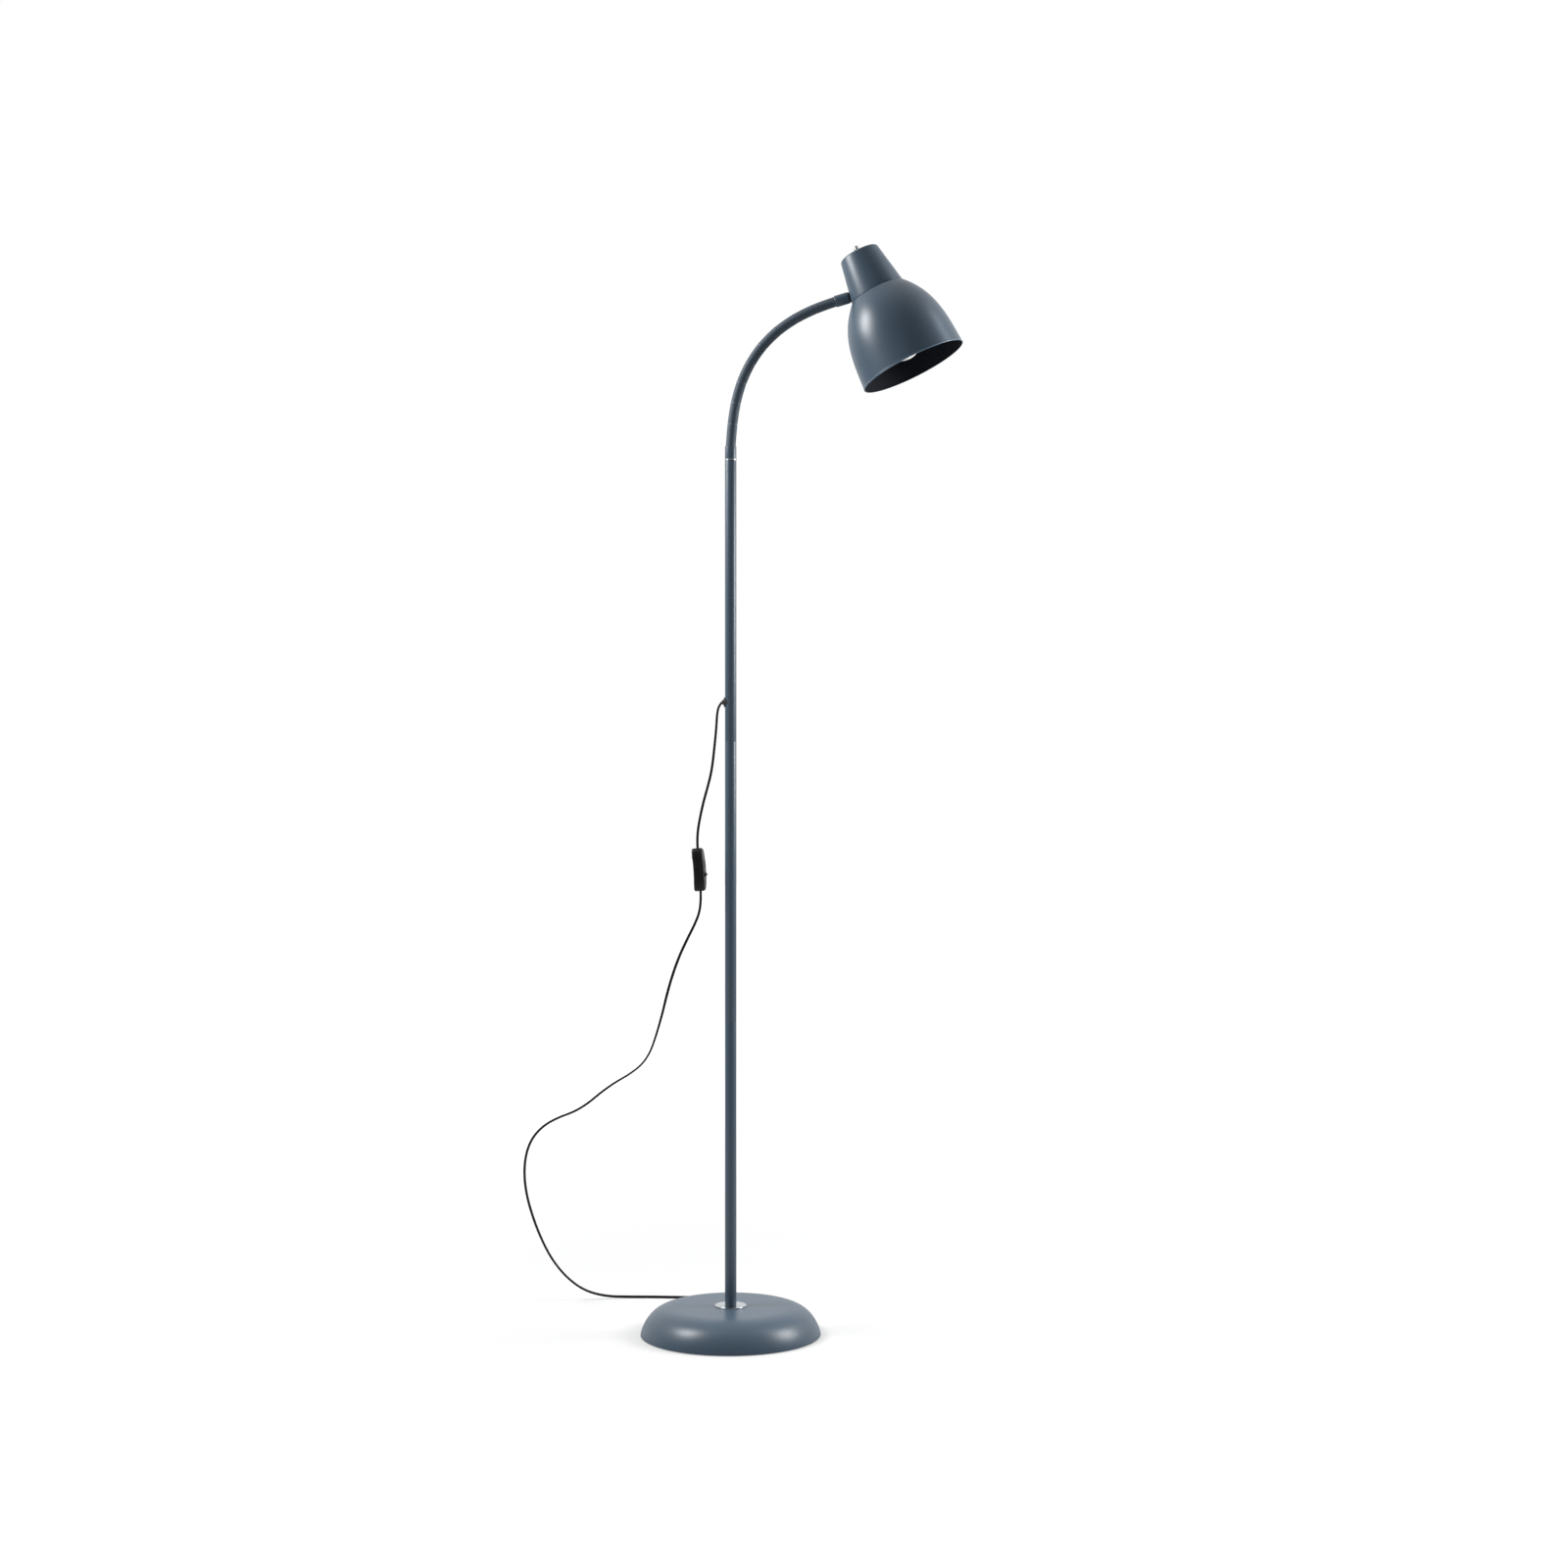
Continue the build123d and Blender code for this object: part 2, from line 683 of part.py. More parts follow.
with BuildPart() as neck_washer:
    # its far face follows the cup's wall
    with BuildSketch(across_neck(ferrule_top)):
        Circle(NECK_WASHER_R)
        Circle(NIPPLE_R, mode=Mode.SUBTRACT)
    extrude(amount=2 * NECK_WASHER_T)
    add(cup_form.part, mode=Mode.SUBTRACT)
write(neck_washer, "neck_washer")
nipple_end = FERRULE_L + CUP_WALL + NIPPLE_IN_CUP
sleeve("neck_nipple_upper", ferrule_plane, NIPPLE_BORE_R, NIPPLE_R, nipple_foot, nipple_end)

# the nut's corners touch the curved inside of the cup first
nut_corner_r = NUT_AF / sqrt(3)
inside_r_at_neck = wall_r_at_neck - cup_inset
nut_seat = FERRULE_L + CUP_WALL + inside_r_at_neck - sqrt(inside_r_at_neck**2 - nut_corner_r**2)
with BuildPart() as neck_nut:
    with BuildSketch(across_neck(nut_seat + SLIP)):
        RegularPolygon(NUT_AF / 2, 6, major_radius=False)
        Circle(NIPPLE_R, mode=Mode.SUBTRACT)
    extrude(amount=NUT_H)
write(neck_nut, "neck_nut")


# ================================================================ head: shade
def bell_radius(depth):
    """Outer radius of the bell at a depth under the seam: a cone plus a part that rounds over."""
    share = depth / SHADE_H
    growth = SHADE_FLARE * share + (1 - SHADE_FLARE) * (1 - (1 - share) ** SHADE_ROUND)
    return CUP_MOUTH_R + (SHADE_R - CUP_MOUTH_R) * growth


def bell_curve(start_depth, inset):
    """Points down the bell's side from a depth to the rim, moved inwards by inset."""
    depths = [
        start_depth + (SHADE_H - start_depth) * (step / (SHADE_STATIONS - 1)) ** SHADE_CROWDING
        for step in range(SHADE_STATIONS)
    ]
    return [(bell_radius(depth) - inset, -depth) for depth in depths]


flange_bore_r = HOLDER_R + FREE
with BuildPart() as shade:
    with BuildSketch(head_plane):
        with BuildLine():
            outside = Spline(*bell_curve(0, 0))
            inside = Spline(*bell_curve(SHADE_FLANGE_T, SHADE_WALL))
            Line(outside @ 1, inside @ 1)
            Polyline(
                inside @ 0,
                (flange_bore_r, -SHADE_FLANGE_T),
                (flange_bore_r, 0),
                outside @ 0,
            )
        make_face()
    revolve(axis=head_axis)
write(shade, "shade")

# ================================================================ head: lampholder
cavity_r = BULB_CAP_R + FREE + THREAD_SHELL_T
cavity_top = BULB_TIP_ABOVE + HOLDER_CONTACT_T
leg_inside = HOLDER_R + SLIP
leg_outside = leg_inside + BRACKET_T
leg_foot = HOLDER_ABOVE - BRACKET_OVERLAP


def bracket_screw_plane(side):
    """A plane on the head's axis that faces out along a bracket screw, side being -1 or 1."""
    height = HOLDER_ABOVE - BRACKET_OVERLAP / 2
    return Plane(origin=point_on(head_plane, 0, height), z_dir=head_plane.x_dir * side)


with BuildPart() as lampholder:
    with BuildSketch(head_plane):
        with BuildLine():
            Polyline(
                (0, cavity_top),
                (cavity_r, cavity_top),
                (cavity_r, -HOLDER_BELOW),
                (HOLDER_R, -HOLDER_BELOW),
                (HOLDER_R, 0),
                (HOLDER_SHOULDER_R, 0),
                (HOLDER_SHOULDER_R, HOLDER_SHOULDER_T),
                (HOLDER_R, HOLDER_SHOULDER_T),
                (HOLDER_R, HOLDER_ABOVE),
                (HOLDER_CAP_R, HOLDER_ABOVE + HOLDER_CAP_H),
                (0, HOLDER_ABOVE + HOLDER_CAP_H),
                close=True,
            )
        make_face()
    revolve(axis=head_axis)
    for side in (-1, 1):
        with BuildSketch(bracket_screw_plane(side).offset(leg_outside - BRACKET_SCREW_L)):
            Circle(BRACKET_SCREW_R)
        extrude(amount=BRACKET_SCREW_L, mode=Mode.SUBTRACT)
write(lampholder, "lampholder")
sleeve(
    "lampholder_thread",
    head_plane,
    BULB_CAP_R + FREE,
    cavity_r,
    THREAD_SHELL_INSET - HOLDER_BELOW,
    cavity_top,
)
with BuildPart() as lampholder_contact:
    with BuildSketch(on_head_axis(BULB_TIP_ABOVE)):
        Circle(TIP_R)
    extrude(amount=HOLDER_CONTACT_T)
write(lampholder_contact, "lampholder_contact")
sleeve(
    "shade_ring",
    head_plane,
    HOLDER_R + SLIP,
    SHADE_RING_R,
    -SHADE_FLANGE_T - SHADE_RING_H,
    -SHADE_FLANGE_T,
)

with BuildPart() as holder_bracket:
    with BuildSketch(head_plane):
        with BuildLine():
            Polyline(
                (-leg_outside, leg_foot),
                (-leg_outside, cup_top_inside),
                (leg_outside, cup_top_inside),
                (leg_outside, leg_foot),
                (leg_inside, leg_foot),
                (leg_inside, cup_top_inside - BRACKET_T),
                (-leg_inside, cup_top_inside - BRACKET_T),
                (-leg_inside, leg_foot),
                close=True,
            )
        make_face()
    extrude(amount=BRACKET_W / 2, both=True)
    with BuildSketch(on_head_axis(cup_top_inside)):
        Circle(KNOB_SCREW_R + SLIP)
    extrude(amount=-BRACKET_T, mode=Mode.SUBTRACT)
    with BuildSketch(bracket_screw_plane(1)):
        Circle(BRACKET_SCREW_R + SLIP)
    extrude(amount=leg_outside, both=True, mode=Mode.SUBTRACT)
write(holder_bracket, "holder_bracket")

with BuildPart() as bracket_screws:
    for side in (-1, 1):
        screw_plane = bracket_screw_plane(side)
        with BuildSketch(screw_plane.offset(leg_outside - BRACKET_SCREW_L)):
            Circle(BRACKET_SCREW_R)
        extrude(amount=BRACKET_SCREW_L)
        with BuildSketch(screw_plane.offset(leg_outside)):
            Circle(BRACKET_SCREW_HEAD_R)
        extrude(amount=BRACKET_SCREW_HEAD_H)
write(bracket_screws, "bracket_screws")

knob_nut_top = cup_top_inside - BRACKET_T
knob_screw_end = knob_nut_top - KNOB_NUT_H - KNOB_SCREW_PAST_NUT
turned(
    "top_knob",
    head_plane,
    [
        (0, knob_screw_end),
        (KNOB_SCREW_R, knob_screw_end),
        (KNOB_SCREW_R, CUP_H),
        (KNOB_R - KNOB_FOOT_EDGE, CUP_H),
        (KNOB_R, CUP_H + KNOB_FOOT_EDGE),
        (KNOB_R, CUP_H + KNOB_H - KNOB_EDGE),
        (KNOB_R - KNOB_EDGE, CUP_H + KNOB_H),
        (0, CUP_H + KNOB_H),
    ],
)
with BuildPart() as knob_nut:
    with BuildSketch(on_head_axis(knob_nut_top)):
        RegularPolygon(KNOB_NUT_AF / 2, 6, major_radius=False)
        Circle(KNOB_SCREW_R, mode=Mode.SUBTRACT)
    extrude(amount=-KNOB_NUT_H)
write(knob_nut, "knob_nut")

# ================================================================ head: bulb
bulb_centre = bulb_crown + BULB_R
cap_top = BULB_TIP_ABOVE - TIP_H
cap_foot = cap_top - BULB_CAP_L
glass_top = cap_foot + BULB_IN_CAP


def globe(inset):
    """Three curves of the bulb's glass from crown to neck, moved inwards by inset."""
    radius = BULB_R - inset
    shoulder = radians(BULB_SHOULDER_ANGLE)
    middle = radians((BULB_SHOULDER_ANGLE - 90) / 2)
    neck_r = BULB_CAP_R - BULB_CAP_T - inset
    crown = ThreePointArc(
        (0, bulb_centre - radius),
        (radius * cos(middle), bulb_centre + radius * sin(middle)),
        (radius * cos(shoulder), bulb_centre + radius * sin(shoulder)),
    )
    neck = Spline(
        crown @ 1, (neck_r, cap_foot), tangents=[(-sin(shoulder), cos(shoulder)), (0, 1)]
    )
    stem = Line(neck @ 1, (neck_r, glass_top))
    return crown, stem


with BuildPart() as bulb_glass:
    with BuildSketch(head_plane):
        with BuildLine():
            outer_crown, outer_stem = globe(0)
            inner_crown, inner_stem = globe(GLASS_T)
            Line(outer_crown @ 0, inner_crown @ 0)
            Line(outer_stem @ 1, inner_stem @ 1)
        make_face()
    revolve(axis=head_axis)
write(bulb_glass, "bulb_glass")

turned(
    "bulb_cap",
    head_plane,
    [
        (BULB_CAP_R, cap_foot),
        (BULB_CAP_R, cap_top - BULB_CAP_CONE),
        (TIP_R + BULB_CAP_T, cap_top),
        (TIP_R, cap_top),
        (TIP_R, cap_top - BULB_CAP_T),
        (BULB_CAP_R - BULB_CAP_T, cap_top - BULB_CAP_CONE - BULB_CAP_T),
        (BULB_CAP_R - BULB_CAP_T, cap_foot),
    ],
)
with BuildPart() as bulb_tip:
    with BuildSketch(on_head_axis(cap_top - BULB_CAP_T)):
        Circle(TIP_R)
    extrude(amount=TIP_H + BULB_CAP_T)
    fillet(bulb_tip.edges().group_by(head_axis)[-1], TIP_H / 2)
write(bulb_tip, "bulb_tip")

# ================================================================ switch on the cord
switch_lean = leaning(Vector(SWITCH_X, 0, SWITCH_Z), SWITCH_LEAN)
switch_up = switch_lean.y_dir
switch_out = switch_lean.x_dir  # towards the pole, where the rocker is
switch_face = Plane(origin=switch_lean.origin, x_dir=switch_up, z_dir=switch_out)
thickness_axis = Axis(switch_face.origin, switch_out)
cavity_l = SWITCH_L - 2 * SWITCH_END_WALL
cavity_w = SWITCH_W - 2 * SWITCH_WALL
screw_spots = [
    (SWITCH_SCREW_ALONG, SWITCH_SCREW_ACROSS),
    (-SWITCH_SCREW_ALONG, -SWITCH_SCREW_ACROSS),
]
pin_depth = SWITCH_FRONT_T - PIN_DEPTH
rocker_reach = hypot(ROCKER_L / 2, PIN_DEPTH + ROCKER_PROUD)
opening_l = 2 * (rocker_reach + ROCKER_SIDE_CLEAR)
opening_w = ROCKER_W + 2 * ROCKER_SIDE_CLEAR
pin_l = opening_w + 2 * PIN_OVERHANG
boss_span = pin_l + 2 * BOSS_WALL
pin_middle = switch_lean.origin + switch_out * pin_depth
across_switch = Plane(origin=pin_middle, x_dir=switch_up, z_dir=(0, 1, 0))

with BuildPart() as switch_back:
    with BuildSketch(switch_face.offset(-SWITCH_BACK_T)):
        RectangleRounded(SWITCH_L, SWITCH_W, SWITCH_CORNER_R)
    extrude(amount=SWITCH_BACK_T)
    fillet(switch_back.edges().group_by(thickness_axis)[0], SWITCH_EDGE_R)
    with BuildSketch(switch_face.offset(SWITCH_WALL - SWITCH_BACK_T)):
        RectangleRounded(cavity_l, cavity_w, SWITCH_CAVITY_R)
        with Locations(*screw_spots):
            Circle(SWITCH_BOSS_R, mode=Mode.SUBTRACT)
    extrude(amount=SWITCH_BACK_T, mode=Mode.SUBTRACT)
    with BuildSketch(switch_face.offset(-SWITCH_BACK_T)):
        with Locations(*screw_spots):
            Circle(SWITCH_SCREW_R + SLIP)
    extrude(amount=SWITCH_BACK_T, mode=Mode.SUBTRACT)
    with BuildSketch(switch_face.offset(-SWITCH_BACK_T)):
        with Locations(*screw_spots):
            Circle(SWITCH_SCREW_HEAD_R + SLIP)
    extrude(amount=SWITCH_SCREW_HEAD_H, mode=Mode.SUBTRACT)
    with BuildSketch(Plane(origin=switch_face.origin, z_dir=switch_up)):
        Circle(cord_hole_r)
    extrude(amount=SWITCH_L, both=True, mode=Mode.SUBTRACT)
write(switch_back, "switch_back")

with BuildPart() as switch_front:
    with BuildSketch(switch_face):
        RectangleRounded(SWITCH_L, SWITCH_W, SWITCH_CORNER_R)
    extrude(amount=SWITCH_FRONT_T)
    fillet(switch_front.edges().group_by(thickness_axis)[-1], SWITCH_EDGE_R)
    with BuildSketch(switch_face):
        RectangleRounded(cavity_l, cavity_w, SWITCH_CAVITY_R)
        with Locations(*screw_spots):
            Circle(SWITCH_BOSS_R, mode=Mode.SUBTRACT)
        with Locations((0, boss_span / 2), (0, -boss_span / 2)):
            Rectangle(2 * BOSS_HALF_L, boss_span - opening_w, mode=Mode.SUBTRACT)
    extrude(amount=SWITCH_FRONT_T - SWITCH_WALL, mode=Mode.SUBTRACT)
    with BuildSketch(switch_face):
        Rectangle(opening_l, opening_w)
    extrude(amount=SWITCH_FRONT_T, mode=Mode.SUBTRACT)
    with BuildSketch(across_switch):
        Circle(PIN_R)
    extrude(amount=pin_l / 2, both=True, mode=Mode.SUBTRACT)
    with BuildSketch(switch_face):
        with Locations(*screw_spots):
            Circle(SWITCH_SCREW_R)
    extrude(amount=SWITCH_FRONT_T - SWITCH_WALL, mode=Mode.SUBTRACT)
    with BuildSketch(Plane(origin=switch_face.origin, z_dir=switch_up)):
        Circle(cord_hole_r)
    extrude(amount=SWITCH_L, both=True, mode=Mode.SUBTRACT)
write(switch_front, "switch_front")

# the rocker's own axes are turned about its pin, lower end out
tilt = radians(ROCKER_TILT)
rocker_along = switch_up * cos(tilt) - switch_out * sin(tilt)
rocker_plane = Plane(origin=across_switch.origin, x_dir=rocker_along, z_dir=(0, -1, 0))
rocker_top = PIN_DEPTH + ROCKER_PROUD
rocker_side = 1 if rocker_plane.y_dir.dot(switch_out) > 0 else -1
with BuildPart() as switch_rocker:
    with BuildSketch(rocker_plane):
        with BuildLine():
            ThreePointArc(
                (-ROCKER_L / 2, rocker_side * rocker_top),
                (0, rocker_side * (rocker_top - ROCKER_DISH)),
                (ROCKER_L / 2, rocker_side * rocker_top),
            )
            Polyline(
                (ROCKER_L / 2, rocker_side * rocker_top),
                (ROCKER_L / 2, -rocker_side * ROCKER_DEPTH / 2),
                (-ROCKER_L / 2, -rocker_side * ROCKER_DEPTH / 2),
                (-ROCKER_L / 2, rocker_side * rocker_top),
            )
        make_face()
        Circle(PIN_R + SLIP, mode=Mode.SUBTRACT)
    extrude(amount=ROCKER_W / 2, both=True)
write(switch_rocker, "switch_rocker")

with BuildPart() as switch_pin:
    with BuildSketch(across_switch):
        Circle(PIN_R)
    extrude(amount=pin_l / 2, both=True)
write(switch_pin, "switch_pin")

screw_end = SWITCH_FRONT_T - SWITCH_WALL - SWITCH_SCREW_END
with BuildPart() as switch_screws:
    with BuildSketch(switch_face.offset(-SWITCH_BACK_T)):
        with Locations(*screw_spots):
            Circle(SWITCH_SCREW_HEAD_R)
    extrude(amount=SWITCH_SCREW_HEAD_H)
    with BuildSketch(switch_face.offset(SWITCH_SCREW_HEAD_H - SWITCH_BACK_T)):
        with Locations(*screw_spots):
            Circle(SWITCH_SCREW_R)
    extrude(amount=screw_end - SWITCH_SCREW_HEAD_H + SWITCH_BACK_T)
write(switch_screws, "switch_screws")

cavity_floor = SWITCH_WALL - SWITCH_BACK_T
clamp_along = cavity_l / 2 - CLAMP_L / 2
with BuildPart() as switch_clamps:
    with BuildSketch(switch_face.offset(cavity_floor)):
        with Locations((clamp_along, 0), (-clamp_along, 0)):
            Rectangle(CLAMP_L, CLAMP_W)
    extrude(amount=cord_r + CLAMP_T - cavity_floor)
    with BuildSketch(Plane(origin=switch_face.origin, z_dir=switch_up)):
        Circle(cord_r + SLIP)
    extrude(amount=SWITCH_L, both=True, mode=Mode.SUBTRACT)
write(switch_clamps, "switch_clamps")

with BuildPart() as switch_contacts:
    with BuildSketch(switch_face.offset(cavity_floor)):
        with Locations((CONTACT_ALONG, 0), (-CONTACT_ALONG, 0)):
            Rectangle(CONTACT_L, CONTACT_W)
    extrude(amount=CONTACT_T)
write(switch_contacts, "switch_contacts")

# ================================================================ plug
plug_turn = radians(PLUG_TURN)
plug_dir = Vector(cos(plug_turn), sin(plug_turn), 0)
plug_plane = Plane(origin=(PLUG_X, PLUG_Y, PLUG_T / 2), x_dir=plug_dir, z_dir=(0, 0, 1))
relief_plane = Plane(origin=plug_plane.origin, z_dir=plug_dir)
plug_front = PLUG_RELIEF_L + PLUG_L
pin_places = [(0, PLUG_PIN_SPACING / 2), (0, -PLUG_PIN_SPACING / 2)]
with BuildPart() as plug_body:
    with BuildSketch(plug_plane.offset(-PLUG_T / 2)):
        with BuildLine():
            Polyline(
                (PLUG_RELIEF_L, -PLUG_NECK_W / 2),
                (PLUG_RELIEF_L + PLUG_SHOULDER, -PLUG_W / 2),
                (plug_front, -PLUG_W / 2),
                (plug_front, PLUG_W / 2),
                (PLUG_RELIEF_L + PLUG_SHOULDER, PLUG_W / 2),
                (PLUG_RELIEF_L, PLUG_NECK_W / 2),
                close=True,
            )
        make_face()
    extrude(amount=PLUG_T)
    flat_edges = plug_body.edges().group_by(Axis.Z)
    fillet(flat_edges[0] + flat_edges[-1], PLUG_EDGE_R)
    with BuildSketch(relief_plane.offset(PLUG_RELIEF_L)):
        Circle(PLUG_RELIEF_FOOT_R)
    extrude(amount=-PLUG_RELIEF_L, taper=PLUG_RELIEF_TAPER)
    with BuildSketch(relief_plane):
        Circle(cord_hole_r)
    extrude(amount=CORD_IN_PLUG, mode=Mode.SUBTRACT)
    pin_plane = Plane(origin=plug_plane.origin, x_dir=(0, 0, 1), z_dir=plug_dir).offset(plug_front)
    # each pin has a moulded sleeve round its inner half
    with BuildSketch(pin_plane):
        with Locations(*pin_places):
            Circle(PLUG_PIN_R)
    extrude(amount=PLUG_SLEEVE_L)
    with BuildSketch(pin_plane.offset(-PLUG_PIN_IN_BODY)):
        with Locations(*pin_places):
            Circle(PLUG_STEM_R)
    extrude(amount=PLUG_PIN_IN_BODY + PLUG_SLEEVE_L, mode=Mode.SUBTRACT)
write(plug_body, "plug_body")

with BuildPart() as plug_pins:
    with BuildSketch(pin_plane.offset(-PLUG_PIN_IN_BODY)):
        with Locations(*pin_places):
            Circle(PLUG_STEM_R)
    extrude(amount=PLUG_PIN_IN_BODY + PLUG_SLEEVE_L)
    with BuildSketch(pin_plane.offset(PLUG_SLEEVE_L)):
        with Locations(*pin_places):
            Circle(PLUG_PIN_R)
    extrude(amount=PLUG_PIN_L - PLUG_SLEEVE_L)
    fillet(plug_pins.edges().group_by(Axis(pin_plane.origin, plug_dir))[-1], PLUG_PIN_R / 2)
write(plug_pins, "plug_pins")

# ================================================================ cord
grommet_start = (-cord_inner_end, 0, exit_z)
switch_in = SWITCH_L / 2 - CORD_IN_SWITCH
switch_straight = SWITCH_L / 2 + CORD_STRAIGHT_OUT


def on_switch_axis(along):
    """A point on the switch's long axis as plain coordinates."""
    point = switch_face.origin + switch_up * along
    return (point.X, point.Y, point.Z)


plug_entry = plug_plane.origin + plug_dir * CORD_IN_PLUG
plug_mouth = plug_plane.origin - plug_dir * CORD_STRAIGHT_OUT
cord_tube(
    "cord_upper",
    [grommet_start] + CORD_UPPER + [on_switch_axis(switch_straight), on_switch_axis(switch_in)],
)
cord_tube("cord_lower", [on_switch_axis(-switch_in), on_switch_axis(-switch_straight)] + CORD_LOWER)
cord_tube(
    "cord_tail",
    CORD_TAIL + [tuple(plug_mouth), tuple(plug_entry)],
)

coil_low = TIE_T
with BuildPart() as cord_coil:
    with BuildSketch(Plane(origin=(COIL_X, COIL_Y, 0), x_dir=(1, 0, 0), z_dir=(0, -1, 0))):
        with Locations((COIL_R, coil_low + COIL_SECTION / 2)):
            RectangleRounded(COIL_SECTION, COIL_SECTION, COIL_EDGE_R)
    revolve(axis=Axis((COIL_X, COIL_Y, 0), (0, 0, 1)))
write(cord_coil, "cord_coil")

with BuildPart() as cord_tie:
    with BuildSketch(Plane(origin=(COIL_X, COIL_Y, 0), x_dir=(1, 0, 0), z_dir=(0, -1, 0))):
        with Locations((-COIL_R, coil_low + COIL_SECTION / 2)):
            outer_w = COIL_SECTION + 2 * (TIE_SLACK + TIE_T)
            RectangleRounded(outer_w, COIL_SECTION + 2 * TIE_T, COIL_EDGE_R + TIE_T)
            RectangleRounded(
                COIL_SECTION + 2 * TIE_SLACK, COIL_SECTION, COIL_EDGE_R, mode=Mode.SUBTRACT
            )
    extrude(amount=TIE_W / 2, both=True)
write(cord_tie, "cord_tie")
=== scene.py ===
"""Looks of a gooseneck reading floor lamp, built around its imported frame.

Every length is in metres in the frame's own axes: +Z up the pole, +X towards the head. The classes
hold the lamp's sizes in millimetres, as its maker would, and turn them into metres as they build.
"""

import json
import logging
from collections.abc import Callable, Sequence
from dataclasses import dataclass
from enum import Enum
from math import atan, cos, degrees, hypot, pi, radians, sin, sqrt
from typing import Any, Union

import bpy
import numpy as np
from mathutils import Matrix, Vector


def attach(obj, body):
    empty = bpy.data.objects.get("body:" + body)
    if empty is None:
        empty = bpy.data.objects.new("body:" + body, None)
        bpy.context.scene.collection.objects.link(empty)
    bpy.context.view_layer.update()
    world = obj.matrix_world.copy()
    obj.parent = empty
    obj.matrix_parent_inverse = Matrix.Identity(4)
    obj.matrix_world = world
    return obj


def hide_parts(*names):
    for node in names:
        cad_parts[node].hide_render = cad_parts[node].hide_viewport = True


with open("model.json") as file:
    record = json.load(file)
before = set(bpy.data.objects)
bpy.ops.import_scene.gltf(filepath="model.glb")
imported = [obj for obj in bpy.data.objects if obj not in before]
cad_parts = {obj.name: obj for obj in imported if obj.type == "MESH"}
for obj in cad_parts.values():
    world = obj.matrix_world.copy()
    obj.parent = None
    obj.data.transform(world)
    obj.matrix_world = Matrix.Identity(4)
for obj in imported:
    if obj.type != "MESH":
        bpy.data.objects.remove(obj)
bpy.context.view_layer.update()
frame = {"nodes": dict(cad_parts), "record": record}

LOG = logging.getLogger("floor_lamp")
MM = 0.001
SHARP_ANGLE = radians(32)

Array = np.ndarray
Place = Sequence[float]
Colour = tuple[float, float, float]
Corners = Sequence[tuple[float, float, float]]
Object = bpy.types.Object


# ============================================================================ axes and meshes
def full_turn(count: int) -> Array:
    """Return that many angles, spaced evenly round a circle."""
    return np.linspace(0, 2 * pi, count, endpoint=False)


def eased(share: Any) -> Any:
    """Return 3u^2 - 2u^3, which leaves 0 and reaches 1 without a kink."""
    return share**2 * (3 - 2 * share)


def unit(direction: Any) -> Array:
    """Return a direction, or a row of them, at length one.

    Args:
        direction: An array whose last axis holds x, y and z.
    """
    direction = np.asarray(direction, float)
    return direction / np.linalg.norm(direction, axis=-1, keepdims=True)


@dataclass(frozen=True)
class Axes:
    """A place in millimetres with three square directions.

    Attributes:
        origin: The place itself.
        out: The first direction across.
        side: The second direction across.
        up: The direction that profiles turn about.
    """

    origin: Array
    out: Array
    side: Array
    up: Array

    @classmethod
    def leaning(cls, origin: Place, angle: float) -> "Axes":
        """Make axes whose up direction leans from vertical towards +X.

        Args:
            origin: The place, in millimetres.
            angle: The lean, in degrees.
        """
        lean = radians(angle)
        out, up = np.array([cos(lean), 0, -sin(lean)]), np.array([sin(lean), 0, cos(lean)])
        return cls(np.asarray(origin, float), out, np.array([0.0, 1.0, 0.0]), up)

    @classmethod
    def along(cls, origin: Place, up: Place, out: Place) -> "Axes":
        """Make axes from an up direction and one across it.

        Args:
            origin: The place, in millimetres.
            up: The direction of the third axis.
            out: Roughly the direction of the first axis.
        """
        up = unit(up)
        out = unit(np.asarray(out, float) - np.dot(out, up) * up)
        return cls(np.asarray(origin, float), out, np.cross(up, out), up)

    def point(self, out: float, side: float, up: float) -> Array:
        """Return one place at those distances along the three directions."""
        return self.origin + out * self.out + side * self.side + up * self.up

    def points(self, out: Array, side: Array, up: Array) -> Array:
        """Return a grid of places from three grids of distances.

        Args:
            out: Distances along the first direction.
            side: Distances along the second direction.
            up: Distances along the third direction.
        """
        out, side, up = np.broadcast_arrays(out, side, up)
        return (
            self.origin
            + out[..., None] * self.out
            + side[..., None] * self.side
            + up[..., None] * self.up
        )


UPRIGHT = Axes.leaning((0, 0, 0), 0)


def grid_faces(rows: Array, close_rows: bool) -> tuple[Array, Array]:
    """Join a grid of vertex numbers into faces, its columns always closed into rings.

    Each face joins point (i, j) to (i, j+1), (i+1, j+1) and (i+1, j). A row whose numbers are all
    the same is a pole, where the faces are triangles.

    Args:
        rows: Vertex numbers, one row for each ring.
        close_rows: Whether the last ring joins the first.

    Returns:
        The vertex number of every face corner, and where each face starts among them.
    """
    lower = rows if close_rows else rows[:-1]
    upper = np.roll(rows, -1, axis=0) if close_rows else rows[1:]
    quads = np.stack(
        [lower, np.roll(lower, -1, axis=1), np.roll(upper, -1, axis=1), upper], axis=-1
    ).reshape(-1, 4)
    low_pole, high_pole = quads[:, 0] == quads[:, 1], quads[:, 2] == quads[:, 3]
    whole = quads[~low_pole & ~high_pole]
    fans = np.concatenate([quads[low_pole][:, [0, 2, 3]], quads[high_pole][:, [0, 1, 2]]])
    corners = np.concatenate([whole.ravel(), fans.ravel()])
    sizes = np.concatenate([np.full(len(whole), 4), np.full(len(fans), 3)])
    return corners, np.concatenate([[0], np.cumsum(sizes)[:-1]])


